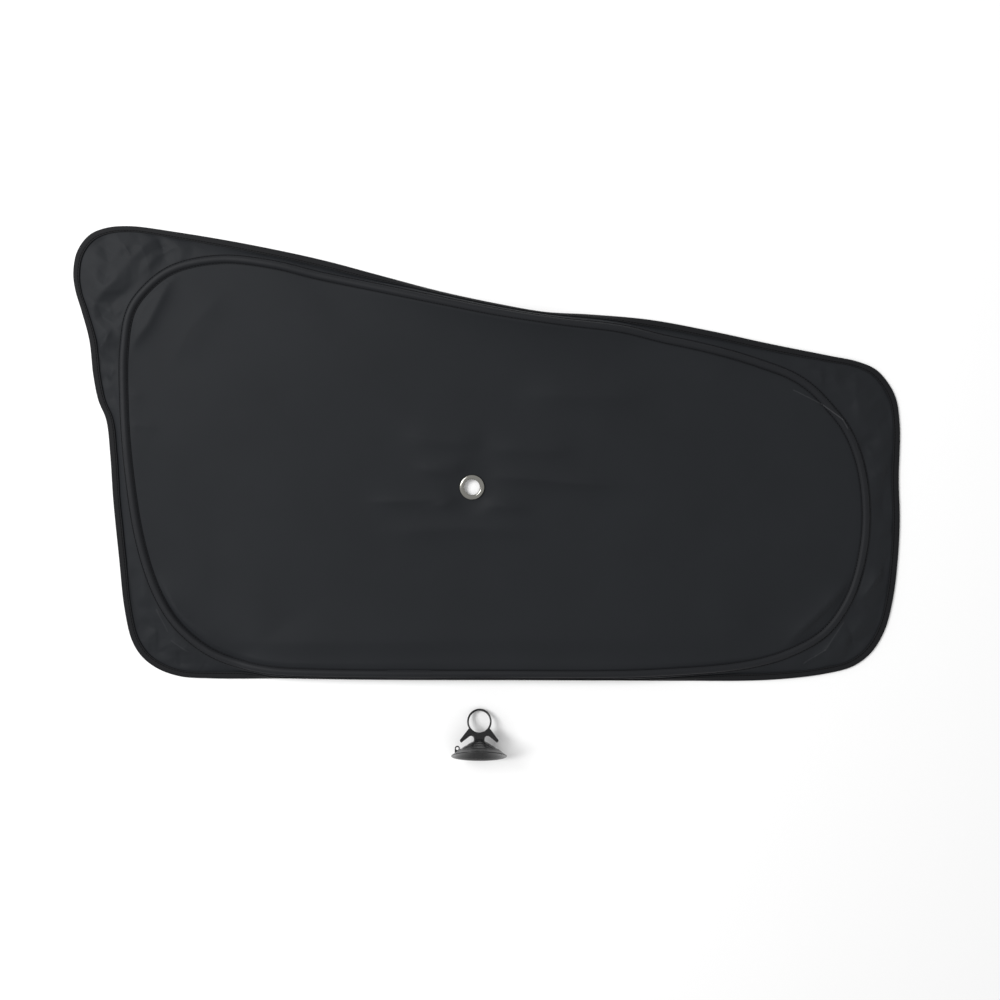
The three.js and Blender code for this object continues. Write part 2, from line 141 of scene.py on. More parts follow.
def facets(x: np.ndarray, y: np.ndarray, size: float, seed: int) -> np.ndarray:
    """Give the height of a crumpled sheet made of flat triangular facets.

    Args:
        x: places along the shade.
        y: places across the shade.
        size: rough width of one facet.
        seed: picks one of many crumples.

    Returns:
        Heights from -1 to 1.
    """
    turn = 0.6 * seed
    bent_x = x + 0.35 * size * np.sin(y / (1.3 * size) + seed)
    bent_y = y + 0.35 * size * np.sin(x / (1.1 * size) + 2.0 * seed)
    along = (bent_x * math.cos(turn) + bent_y * math.sin(turn)) / size
    across = (bent_y * math.cos(turn) - bent_x * math.sin(turn)) / size
    u, v = along - 0.577 * across, 1.155 * across
    i, j = np.floor(u).astype(int), np.floor(v).astype(int)
    f, g = u - i, v - j
    table = np.random.RandomState(seed).uniform(-1.0, 1.0, (64, 64))

    def corner(di: int, dj: int) -> np.ndarray:
        """Return the height of one corner of the facet's cell."""
        return table[(i + di) % 64, (j + dj) % 64]

    low = corner(0, 0) * (1 - f - g) + corner(1, 0) * f + corner(0, 1) * g
    high = corner(1, 1) * (f + g - 1) + corner(0, 1) * (1 - f) + corner(1, 0) * (1 - g)
    return np.where(f + g < 1, low, high)


@dataclass(frozen=True)
class Crease:
    """A ridge or a valley pressed in the cloth along a bent line.

    Attributes:
        line: the corners of the line.
        rise: height of the line over the cloth, below 0 for a valley.
        left: width of the flank on the left of the line.
        right: width of the flank on its right.
        crest: rounding of the line itself.
        fade: share of the line over which each end dies away.
    """

    line: tuple[Pair, ...]
    rise: float
    left: float
    right: float
    crest: float = 1.0
    fade: float = 0.34

    def height(self, x: np.ndarray, y: np.ndarray) -> np.ndarray:
        """Return the crease's height at each place of the plan.

        Args:
            x: how far right each place lies.
            y: how far up it lies.

        Returns:
            Heights in millimetres.
        """
        corners = np.asarray(self.line, float)
        runs = np.diff(corners, axis=0)
        lengths = np.hypot(runs[:, 0], runs[:, 1])
        before = np.concatenate([[0.0], np.cumsum(lengths)])
        nearest = np.full(np.shape(x), np.inf)
        along, turned = np.zeros_like(nearest), np.ones_like(nearest)
        for corner, run, length, start in zip(corners, runs, lengths, before):
            away_x, away_y = x - corner[0], y - corner[1]
            share = np.clip((away_x * run[0] + away_y * run[1]) / length**2, 0.0, 1.0)
            gap = np.hypot(away_x - share * run[0], away_y - share * run[1])
            side = run[0] * away_y - run[1] * away_x
            closer = gap < nearest
            nearest = np.where(closer, gap, nearest)
            along = np.where(closer, (start + share * length) / before[-1], along)
            turned = np.where(closer, side, turned)
        fade = 0.04 + 0.96 * smoothstep(np.minimum(along, 1.0 - along), 0.0, self.fade)
        width = np.where(turned > 0, self.left, self.right)
        slope = (np.sqrt(nearest**2 + self.crest**2) - self.crest) / width
        return self.rise * fade * np.exp(-slope)


PANEL_CREASES: list[Crease] = [
    Crease(((2, 14), (60, 9), (160, 0)), 1.8, 11, 8, 2.0),
    Crease(((-60, 17), (4, 18)), 1.4, 7, 6, 1.5),
    Crease(((-2, -8), (-14, -14), (-40, -17)), 1.2, 5, 5, 1.2),
    Crease(((-10, -12), (-110, -14)), 1.1, 7, 7, 1.5),
    Crease(((-8, -16), (12, -16), (60, -21)), 1.7, 7, 6, 1.5),
    Crease(((-100, -44), (-14, -40), (84, -43)), 1.3, 10, 10, 2.5),
    Crease(((6, 39), (112, 36)), 1.4, 11, 9, 2.5),
    Crease(((-76, 50), (16, 43)), 1.2, 10, 9, 2.5),
    Crease(((36, 92), (190, 91)), 1.7, 16, 13, 4.0),
    Crease(((-262, -152), (60, -148), (300, -149)), 2.6, 75, 15, 8.0, 0.1),
    Crease(((-294, 216), (-303, 201), (-322, 163), (-347, 130)), 1.5, 5, 13, 1.0),
    Crease(((-316, 208), (-343, 170)), 0.9, 3, 3, 0.6),
    Crease(((-243, 200), (-275, 163), (-304, 118)), 0.6, 10, 20, 4.0),
    Crease(
        ((-322, -86), (-300, -117), (-279, -136), (-259, -149), (-230, -170)), 2.3, 13, 8, 0.8
    ),
    Crease(((380, -86), (354, -116), (328, -141), (308, -162)), 2.6, 5, 13, 0.6),
    Crease(((318, 98), (348, 83), (358, 77)), 0.4, 1.6, 1.6, 0.3),
    Crease(((-352, 60), (-330, 62), (-310, 58)), 0.25, 4, 4, 1.0),
    Crease(((-349, 95), (-325, 90)), 0.2, 4, 4, 1.0),
]

SKIRT_CREASES: list[Crease] = [
    Crease(
        ((-384, 168), (-376, 182), (-367, 195), (-350, 197), (-335, 209), (-322, 222),
         (-314, 231), (-299, 239), (-274, 246)), 2.4, 24, 5, 0.6
    ),
    Crease(((-380, 228), (-371, 244)), 1.4, 4, 5, 0.5),
    Crease(((-348, 243), (-340, 230)), 1.2, 3, 2, 0.3),
    Crease(((-315, 250), (-307, 235)), -1.4, 2.5, 3, 0.4),
    Crease(((-376, 130), (-369, 142), (-358, 160)), 2.4, 4, 5, 0.5),
    Crease(((-364, 107), (-355, 120)), 1.6, 6, 3, 0.4),
    Crease(((-355, 156), (-345, 170)), 1.2, 2.5, 2.5, 0.4),
    Crease(((-356, 171), (-346, 181)), 1.1, 2.5, 2.5, 0.4),
    Crease(((383, 122), (384, 87), (387, 58)), 3.8, 14, 9, 1.2),
    Crease(((347, 122), (350, 97)), 2.4, 8, 8, 0.8),
    Crease(((393, 45), (400, 28)), 1.7, 5, 5, 0.6),
    Crease(((394, 8), (404, 13), (416, 22)), 3.0, 8, 8, 0.6),
    Crease(((413, -74), (402, -92), (386, -115)), 3.4, 6, 7, 0.5),
    Crease(((394, -66), (398, -80)), 1.3, 4, 4, 0.5),
    Crease(((384, -111), (381, -124)), -1.2, 2.5, 2.5, 0.4),
    Crease(((373, -135), (379, -147), (381, -155), (392, -162)), -2.0, 3.5, 3, 0.4),
    Crease(((372, -134), (364, -148), (352, -162), (330, -177)), 1.6, 3.5, 3, 0.4),
    Crease(((-316, -120), (-303, -146)), 1.1, 3, 3, 0.3),
    Crease(((-302, -152), (-281, -165)), 1.2, 3, 3, 0.3),
    Crease(((-321, -155), (-321, -170)), -1.3, 3, 3, 0.4),
    Crease(((-293, -161), (-291, -184)), -2.2, 12, 6, 0.6),
    Crease(((-244, -186), (-238, -175)), -1.2, 2.5, 2.5, 0.4),
    Crease(((-348, -45), (-343, -92)), 1.8, 8, 4, 0.6),
]


@dataclass(frozen=True)
class Bow:
    """A place where the hoop stands up from the ground.

    Attributes:
        at: middle of the bow in plan.
        spread: how far the bow reaches.
        rise: its height.
        tilt: how far the channel leans outwards there, in degrees.
    """

    at: Pair
    spread: float
    rise: float
    tilt: float

    def share(self, points: np.ndarray) -> np.ndarray:
        """Return how strongly the bow acts at each point, from 0 to 1."""
        return np.exp(-np.sum((points - np.asarray(self.at)) ** 2, axis=1) / self.spread**2)


@dataclass
class Plan:
    """Stations round the shade, each looking outwards, square to the hoop.

    Attributes:
        stations: how many there are.
        evenness: 1 for stations an equal way apart along the outline.
        seam_edge: half the width of the channel, to the cloth that leaves it.
        binding_half: half the thickness of the binding.
        binding_width: width of the binding on one face.
        binding_wall: thickness of one layer of the binding.
        hoop_rest: height of the cloth under the hoop.
        skirt_reach: skirt width below which the hoop is pushed up.
        skirt_lift: how far it is pushed for each millimetre missing.
        bows: places where the hoop bows up.
    """

    stations: int = 960
    evenness: float = 0.55
    seam_edge: float = 5.0
    binding_half: float = 1.1
    binding_width: float = 7.0
    binding_wall: float = 0.5
    hoop_rest: float = 4.2
    skirt_reach: float = 11.0
    skirt_lift: float = 0.8
    bows: tuple[Bow, ...] = (
        Bow((55, 170), 125, 4.0, 30),
        Bow((90, -184), 190, 1.0, 8),
        Bow((-345, 45), 75, 1.5, 8),
    )
    hoop: np.ndarray = field(init=False)
    out: np.ndarray = field(init=False)
    width: np.ndarray = field(init=False)
    height: np.ndarray = field(init=False)
    tilt: np.ndarray = field(init=False)
    slope: np.ndarray = field(init=False)

    def __post_init__(self) -> None:
        """Work out every station."""
        edge = self._edge_points()
        self.hoop = self._nearest_on_hoop(edge)
        self.width = np.linalg.norm(edge - self.hoop, axis=1)
        self.out = (edge - self.hoop) / self.width[:, None]
        rise = sum(bow.rise * bow.share(self.hoop) for bow in self.bows)
        self.tilt = np.radians(sum(bow.tilt * bow.share(self.hoop) for bow in self.bows))
        room = self.skirt_reach - (self.width - self.seam_edge - self.binding_half)
        crowd = (room + np.hypot(room, 2.0)) / 2.0
        self.height = self.hoop_rest + rise + self.skirt_lift * crowd
        a, h = self.on_hoop(self.seam_edge, 0.0)
        fall = np.arctan2(h - self.binding_half, self.width - self.binding_half - a)
        low, high = math.radians(8.0), math.radians(65.0)
        self.slope = fall * smoothstep(fall, low, high)

    def _edge_points(self) -> np.ndarray:
        """Return the points of the cut edge, closer together where it bends.

        Returns:
            One point for each station.
        """
        dense = closed_curve(OUTLINE, 64)
        ring = np.vstack([dense, dense[:1]])
        steps = np.linalg.norm(np.diff(ring, axis=0), axis=1)
        run = np.concatenate([[0.0], np.cumsum(steps)])
        share = np.linspace(0.0, 1.0, len(ring))
        turn = np.arange(self.stations) / self.stations
        even = np.interp(turn * run[-1], run, share)
        at = turn + (even - turn) * self.evenness
        return np.column_stack([np.interp(at, share, ring[:, k]) for k in (0, 1)])

    @staticmethod
    def _nearest_on_hoop(edge: np.ndarray) -> np.ndarray:
        """Return the place on the hoop nearest to each point of the edge.

        Args:
            edge: points of the cut edge.

        Returns:
            One place for each of them.
        """
        dense = closed_curve(HOOP, 64)
        gap = ((edge[:, None, :] - dense[None, :, :]) ** 2).sum(axis=2)
        nearest = gap.argmin(axis=1)
        best, least = dense[nearest], gap.min(axis=1)
        for step in (-1, 1):
            here, there = dense[nearest], dense[(nearest + step) % len(dense)]
            run = there - here
            share = np.clip(((edge - here) * run).sum(1) / (run**2).sum(1), 0.0, 1.0)
            trial = here + run * share[:, None]
            distance = ((edge - trial) ** 2).sum(1)
            closer = distance < least
            best[closer], least[closer] = trial[closer], distance[closer]
        return best

    def on_hoop(self, a: float | np.ndarray, h: float | np.ndarray) -> tuple:
        """Turn a place on the channel's own cross section into one of the station.

        Args:
            a: way outwards from the middle of the channel.
            h: way up from the cloth under it.

        Returns:
            The way outwards and the height above the ground, one of each a station.
        """
        cos, sin = np.cos(self.tilt), np.sin(self.tilt)
        return a * cos + h * sin, self.height - a * sin + h * cos

    def at_edge(self, d: float | np.ndarray, m: float | np.ndarray) -> tuple:
        """Turn a place on the binding's cross section into one of the station.

        Args:
            d: way outwards along the cloth from the start of the fold.
            m: way up from the middle of the cloth.

        Returns:
            The way outwards and the height above the ground, one of each a station.
        """
        cos, sin = np.cos(self.slope), np.sin(self.slope)
        half, wall = self.binding_half, self.binding_wall
        lowest = np.maximum(half * cos + wall * 0.2 * sin, half * sin + wall * 0.6 * cos)
        return self.width - half + d * cos + m * sin, lowest - d * sin + m * cos

    def place(self, a: np.ndarray, h: np.ndarray) -> np.ndarray:
        """Return the point that lies a outwards and h up at every station.

        Args:
            a: distance outwards from the hoop at each station.
            h: height at each station.

        Returns:
            One point for each station.
        """
        a = np.broadcast_to(a, (self.stations,))
        h = np.broadcast_to(h, (self.stations,))
        return np.column_stack([self.hoop + self.out * a[:, None], h])

    def station_near(self, point: Pair) -> int:
        """Return the number of the station whose edge is nearest to a point."""
        edge = self.hoop + self.out * self.width[:, None]
        return int(((edge - np.asarray(point)) ** 2).sum(axis=1).argmin())

    def run(self) -> np.ndarray:
        """Return the length of the hoop from the first station to each one."""
        steps = np.linalg.norm(np.diff(self.hoop, axis=0, append=self.hoop[:1]), axis=1)
        return np.concatenate([[0.0], np.cumsum(steps)[:-1]])


def waver(run: np.ndarray, pitch: float, seed: int) -> np.ndarray:
    """Give an uneven wave along a seam.

    Args:
        run: places along the seam.
        pitch: rough length of a wave.
        seed: picks one of many waves.

    Returns:
        Heights from about -1 to 1.
    """
    turn = 2.0 * math.pi * run / pitch
    slow = np.sin(0.31 * turn + 1.7 * seed) + 0.6 * np.sin(0.73 * turn + seed)
    return 0.62 * np.sin(turn + 1.6 * slow) * (0.6 + 0.4 * np.sin(0.17 * turn + seed))


@dataclass(frozen=True)
class Pucker:
    """Small waves that a seam draws into the cloth beside it.

    Attributes:
        rise: height of the waves.
        pitch: rough length of a wave.
        reach: how far they run from the seam before they die away.
        seed: picks one of many rows of waves.
    """

    rise: float
    pitch: float
    reach: float
    seed: int

    def height(self, run: np.ndarray, away: np.ndarray) -> np.ndarray:
        """Return the waves' height at places along and away from the seam."""
        return self.rise * waver(run, self.pitch, self.seed) * np.exp(-away / self.reach)


class MeshMaker:
    """Turns points and faces into a piece that rides with the shade."""

    @staticmethod
    def piece(name: str, mesh: bpy.types.Mesh, finish: bpy.types.Material) -> bpy.types.Object:
        """Put a mesh in the scene as a piece of the shade.

        Args:
            name: name of the piece.
            mesh: its mesh, in metres in the frame of the solids.
            finish: its material.

        Returns:
            The new object.
        """
        item = bpy.data.objects.new(name, mesh)
        bpy.context.scene.collection.objects.link(item)
        mesh.materials.clear()
        mesh.materials.append(finish)
        mesh.shade_smooth()
        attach(item, "root")
        log.info("built %s with %d faces", name, len(mesh.polygons))
        return item

    @staticmethod
    def faces(rows: int, columns: int, wrap: Wrap, first: int = 0) -> np.ndarray:
        """Return the four-sided faces of a grid of points.

        Args:
            rows: number of rows.
            columns: number of points in a row.
            wrap: which ways the grid closes on itself.
            first: number of the grid's first point.

        Returns:
            Four point numbers a face.
        """
        i = np.arange(rows if wrap in (Wrap.ROWS, Wrap.BOTH) else rows - 1)
        j = np.arange(columns if wrap in (Wrap.COLUMNS, Wrap.BOTH) else columns - 1)
        i, j = (part.ravel() for part in np.meshgrid(i, j, indexing="ij"))
        k, n = (i + 1) % rows, (j + 1) % columns
        quads = [i * columns + j, k * columns + j, k * columns + n, i * columns + n]
        return np.column_stack(quads) + first

    @staticmethod
    def mesh(name: str, points: np.ndarray, faces: np.ndarray) -> bpy.types.Mesh:
        """Make a mesh of points in millimetres from the eyelet.

        Args:
            name: name of the mesh.
            points: its points.
            faces: numbers of each face's points.

        Returns:
            The mesh, in metres.
        """
        made = bpy.data.meshes.new(name)
        metres = points * MM + np.asarray(ORIGIN)
        made.from_pydata(metres.tolist(), [], faces.tolist())
        made.update()
        return made

    @classmethod
    def grid(cls, name: str, points: np.ndarray, wrap: Wrap) -> bpy.types.Mesh:
        """Make a mesh of a grid of points.

        Args:
            name: name of the mesh.
            points: the points, rows by columns by three.
            wrap: which ways the grid closes on itself.

        Returns:
            The mesh.
        """
        rows, columns = points.shape[:2]
        return cls.mesh(name, points.reshape(-1, 3), cls.faces(rows, columns, wrap))


@dataclass
class Stitching:
    """A row of lock stitches sunk in a seam.

    Attributes:
        pitch: from one stitch to the next.
        length: length of the thread that shows.
        radius: half the thickness of the thread.
    """

    pitch: float = 3.0
    length: float = 2.6
    radius: float = 0.3

    def mesh(self, name: str, path: np.ndarray) -> bpy.types.Mesh:
        """Lay stitches along a path that runs back to its start.

        Args:
            name: name of the mesh.
            path: points of the seam's surface.

        Returns:
            One mesh with all the stitches.
        """
        line = np.vstack([path, path[:1]])
        run = np.concatenate([[0.0], np.cumsum(np.linalg.norm(np.diff(line, axis=0), axis=1))])
        count = max(1, int(run[-1] / self.pitch))
        middles = (np.arange(count) + 0.5) * run[-1] / count

        def at(distance: np.ndarray) -> np.ndarray:
            """Return the points at given distances along the path."""
            return np.column_stack([np.interp(distance, run, line[:, k]) for k in range(3)])

        start, middle, end = (at(middles + s * self.length / 2) for s in (-1, 0, 1))
        ahead = end - start
        ahead /= np.linalg.norm(ahead, axis=1)[:, None]
        side = np.cross(ahead, [0.0, 0.0, 1.0])
        side /= np.linalg.norm(side, axis=1)[:, None]
        over = np.cross(side, ahead)
        sides, rings = 6, [(-0.5, 0.15, -0.5), (-0.36, 0.85, 0.1), (0, 1.0, 0.45)]
        rings += [(-along, size, lift) for along, size, lift in reversed(rings[:2])]
        angle = np.arange(sides) * 2.0 * math.pi / sides
        parts = []
        for along, size, lift in rings:
            centre = middle + ahead * along * self.length + over * lift * self.radius
            for turn in angle:
                reach = size * self.radius
                parts.append(centre + side * math.cos(turn) * reach + over * math.sin(turn) * reach)
        points = np.stack(parts, axis=1).reshape(-1, 3)
        one = MeshMaker.faces(len(rings), sides, Wrap.COLUMNS)
        shift = (np.arange(count) * len(rings) * sides)[:, None, None]
        return MeshMaker.mesh(name, points, (one[None] + shift).reshape(-1, 4))


class NodeTools:
    """Short ways to wire up shader nodes."""

    @staticmethod
    def group(name: str, inputs: dict[str, tuple], outputs: dict[str, str]) -> bpy.types.NodeTree:
        """Start a node group with named sockets.

        Args:
            name: name of the group.
            inputs: socket name to its type and default value.
            outputs: socket name to its type.

        Returns:
            The group, with its input and output nodes named "in" and "out".
        """
        tree = bpy.data.node_groups.new(name, "ShaderNodeTree")
        for label, (kind, value) in inputs.items():
            socket = tree.interface.new_socket(label, in_out="INPUT", socket_type=kind)
            socket.default_value = value
        for label, kind in outputs.items():
            tree.interface.new_socket(label, in_out="OUTPUT", socket_type=kind)
        tree.nodes.new("NodeGroupInput").name = "in"
        tree.nodes.new("NodeGroupOutput").name = "out"
        return tree

    @staticmethod
    def add(tree: bpy.types.NodeTree, kind: str, **values: object) -> bpy.types.Node:
        """Add a node and set its options, and its inputs where a name is one.

        Args:
            tree: where the node goes.
            kind: the node's type.
            values: option names, or input names with underscores for spaces.

        Returns:
            The node.
        """
        node = tree.nodes.new(kind)
        for label, value in values.items():
            if hasattr(node, label):
                setattr(node, label, value)
            else:
                node.inputs[label.replace("_", " ")].default_value = value
        return node

    @classmethod
    def math(cls, tree: bpy.types.NodeTree, how: str, *parts: object) -> bpy.types.NodeSocket:
        """Do a sum on sockets and numbers.

        Args:
            tree: where the node goes.
            how: the operation.
            parts: sockets or numbers to work on.

        Returns:
            The socket with the result.
        """
        node = cls.add(tree, "ShaderNodeMath", operation=how)
        for place, part in enumerate(parts):
            if isinstance(part, bpy.types.NodeSocket):
                tree.links.new(part, node.inputs[place])
            else:
                node.inputs[place].default_value = part
        return node.outputs[0]

    @classmethod
    def place(
        cls, tree: bpy.types.NodeTree, source: bpy.types.NodeTree, **values: object
    ) -> bpy.types.Node:
        """Place a node group in a tree.

        Args:
            tree: where the group goes.
            source: the group.
            values: input names with underscores for spaces.

        Returns:
            The group node.
        """
        node = tree.nodes.new("ShaderNodeGroup")
        node.node_tree = source
        for label, value in values.items():
            node.inputs[label.replace("_", " ")].default_value = value
        return node


class Effects:
    """Shader groups that several finishes share, each built once."""

    _made: dict[str, bpy.types.NodeTree] = {}

    @classmethod
    def weave(cls) -> bpy.types.NodeTree:
        """Return the plain weave group: threads over and under at a given pitch.

        Returns:
            The group, made at its first use.
        """
        if "weave" in cls._made:
            return cls._made["weave"]
        inputs = {"Pitch": ("NodeSocketFloat", 0.5), "Turn": ("NodeSocketFloat", 0.0)}
        tree = NodeTools.group("plain_weave", inputs, {"Height": "NodeSocketFloat"})
        given = tree.nodes["in"].outputs
        place = NodeTools.add(tree, "ShaderNodeTexCoord")
        turn = NodeTools.add(tree, "ShaderNodeVectorRotate", rotation_type="Z_AXIS")
        tree.links.new(place.outputs["Object"], turn.inputs["Vector"])
        tree.links.new(given["Turn"], turn.inputs["Angle"])
        axes = NodeTools.add(tree, "ShaderNodeSeparateXYZ")
        tree.links.new(turn.outputs[0], axes.inputs[0])
        rate = NodeTools.math(tree, "DIVIDE", 2000.0 * math.pi, given["Pitch"])
        waves = []
        for axis in ("X", "Y"):
            phase = NodeTools.math(tree, "MULTIPLY", axes.outputs[axis], rate)
            waves.append(NodeTools.math(tree, "SINE", phase))
        product = NodeTools.math(tree, "MULTIPLY", waves[0], waves[1])
        half = NodeTools.math(tree, "MULTIPLY", product, 0.5)
        height = NodeTools.math(tree, "ADD", half, 0.5)
        tree.links.new(height, tree.nodes["out"].inputs["Height"])
        cls._made["weave"] = tree
        return tree

    @classmethod
    def mottle(cls) -> bpy.types.NodeTree:
        """Return the group of slow uneven tone and small scuffs.

        Returns:
            The group, made at its first use.
        """
        if "mottle" in cls._made:
            return cls._made["mottle"]
        inputs = {
            "Size": ("NodeSocketFloat", 60.0),
            "Scuff Size": ("NodeSocketFloat", 3.0),
        }
        outputs = {"Tone": "NodeSocketFloat", "Scuff": "NodeSocketFloat"}
        tree = NodeTools.group("mottle", inputs, outputs)
        given = tree.nodes["in"].outputs
        place = NodeTools.add(tree, "ShaderNodeTexCoord")
        for label, socket, detail, low, high in (
            ("Tone", "Size", 3.0, 0.3, 0.7),
            ("Scuff", "Scuff Size", 5.0, 0.58, 0.78),
        ):
            scale = NodeTools.math(tree, "DIVIDE", 1000.0, given[socket])
            cloud = NodeTools.add(tree, "ShaderNodeTexNoise", Detail=detail, Roughness=0.55)
            tree.links.new(place.outputs["Object"], cloud.inputs["Vector"])
            tree.links.new(scale, cloud.inputs["Scale"])
            ramp = NodeTools.add(tree, "ShaderNodeMapRange", From_Min=low, From_Max=high)
            tree.links.new(cloud.outputs["Fac"], ramp.inputs["Value"])
            tree.links.new(ramp.outputs["Result"], tree.nodes["out"].inputs[label])
        cls._made["mottle"] = tree
        return tree

    @classmethod
    def crease(cls) -> bpy.types.NodeTree:
        """Return the group of a painted highlight: a thin pale line between two points along a
        crease.

        Returns:
            The group, made at its first use.
        """
        if "crease" in cls._made:
            return cls._made["crease"]
        inputs = {
            "Start": ("NodeSocketVector", (0.0, 0.0, 0.0)),
            "End": ("NodeSocketVector", (1.0, 0.0, 0.0)),
            "Width": ("NodeSocketFloat", 0.8),
        }
        tree = NodeTools.group("painted_crease_highlight", inputs, {"Mask": "NodeSocketFloat"})
        given = tree.nodes["in"].outputs
        place = NodeTools.add(tree, "ShaderNodeTexCoord")
        flat = NodeTools.add(tree, "ShaderNodeVectorMath", operation="MULTIPLY")
        flat.inputs[1].default_value = (1.0, 1.0, 0.0)
        tree.links.new(place.outputs["Object"], flat.inputs[0])

        def vector(how: str, first: object, second: object) -> bpy.types.Node:
            """Add a vector sum on two sockets.

            Args:
                how: the sum.
                first: the first socket.
                second: the second one.

            Returns:
                The node that does it.
            """
            node = NodeTools.add(tree, "ShaderNodeVectorMath", operation=how)
            tree.links.new(first, node.inputs[0])
            tree.links.new(second, node.inputs[1])
            return node

        # Painted highlight: the mask is 1 on the crease line and fades to 0 at an uneven width.
        away = vector("SUBTRACT", flat.outputs[0], given["Start"]).outputs[0]
        run = vector("SUBTRACT", given["End"], given["Start"]).outputs[0]
        dot = vector("DOT_PRODUCT", away, run).outputs["Value"]
        length = vector("DOT_PRODUCT", run, run).outputs["Value"]
        along = NodeTools.math(tree, "DIVIDE", dot, length)
        clamped = NodeTools.add(tree, "ShaderNodeClamp")
        tree.links.new(along, clamped.inputs["Value"])
        foot = NodeTools.add(tree, "ShaderNodeVectorMath", operation="SCALE")
        tree.links.new(run, foot.inputs[0])
        tree.links.new(clamped.outputs[0], foot.inputs["Scale"])
        gap = vector("DISTANCE", away, foot.outputs[0]).outputs["Value"]
        cloud = NodeTools.add(tree, "ShaderNodeTexNoise", Scale=260.0, Detail=3.0)
        tree.links.new(place.outputs["Object"], cloud.inputs["Vector"])
        uneven = NodeTools.math(tree, "MULTIPLY", cloud.outputs["Fac"], given["Width"])
        share = NodeTools.math(tree, "DIVIDE", gap, NodeTools.math(tree, "MULTIPLY", uneven, MM))
        inside = NodeTools.math(tree, "SUBTRACT", 1.0, share)
        highlight_mask = NodeTools.math(tree, "MAXIMUM", inside, 0.0)
        tree.links.new(highlight_mask, tree.nodes["out"].inputs["Mask"])
        cls._made["crease"] = tree
        return tree


@dataclass(frozen=True)
class Colour:
    """A plain colour in linear light."""

    red: float
    green: float
    blue: float

    def rgba(self, gain: float = 1.0) -> tuple[float, float, float, float]:
        """Return the colour as a shader wants it, made lighter or darker."""
        return (self.red * gain, self.green * gain, self.blue * gain, 1.0)


@dataclass
class Mottled:
    """The start that all finishes share: uneven tone and uneven roughness.

    Attributes:
        name: name of the material.
        colour: its colour.
        gloss: strength of its plain reflection.
        metallic: 1 for a metal.
        sizes: sizes of its slow tones and of its scuffs in millimetres.
    """

    name: str
    colour: Colour
    gloss: float
    metallic: float
    sizes: Pair

    def __post_init__(self) -> None:
        """Make the material with its shader and its mottle."""
        self.material = bpy.data.materials.new(self.name)
        self.material.use_nodes = True
        self.tree = self.material.node_tree
        self.shader = self.tree.nodes["Principled BSDF"]
        self.shader.inputs["Metallic"].default_value = self.metallic
        self.shader.inputs["Specular IOR Level"].default_value = self.gloss
        slow, scuff = self.sizes
        self.mottle = NodeTools.place(self.tree, Effects.mottle(), Size=slow, Scuff_Size=scuff)

    def tone(self, dark: float, light: float) -> bpy.types.NodeSocket:
        """Return the colour, which wanders between a darker and a lighter gain.

        Args:
            dark: gain of its darkest places.
            light: gain of its lightest ones.

        Returns:
            The socket that gives it.
        """
        mix = NodeTools.add(self.tree, "ShaderNodeMix", data_type="RGBA")
        mix.inputs["A"].default_value = self.colour.rgba(dark)
        mix.inputs["B"].default_value = self.colour.rgba(light)
        self.tree.links.new(self.mottle.outputs["Tone"], mix.inputs["Factor"])
        return mix.outputs["Result"]

    def roughen(self, low: float, high: float, by: str) -> None:
        """Let the roughness run from low to high as one of the mottle's outputs rises.

        Args:
            low: roughness where that output is 0.
            high: roughness where it is 1.
            by: name of the output.
        """
        rough = NodeTools.add(self.tree, "ShaderNodeMapRange")
        rough.inputs["To Min"].default_value = low
        rough.inputs["To Max"].default_value = high
        self.tree.links.new(self.mottle.outputs[by], rough.inputs["Value"])
        self.tree.links.new(rough.outputs["Result"], self.shader.inputs["Roughness"])

    def emboss(self, height: bpy.types.NodeSocket, strength: float, relief: float) -> None:
        """Raise the surface by a height.

        Args:
            height: socket that gives the height.
            strength: share of the effect, up to 1.
            relief: depth in millimetres.
        """
        bump = NodeTools.add(
            self.tree, "ShaderNodeBump", Strength=strength, Distance=relief * MM
        )
        self.tree.links.new(height, bump.inputs["Height"])
        self.tree.links.new(bump.outputs["Normal"], self.shader.inputs["Normal"])


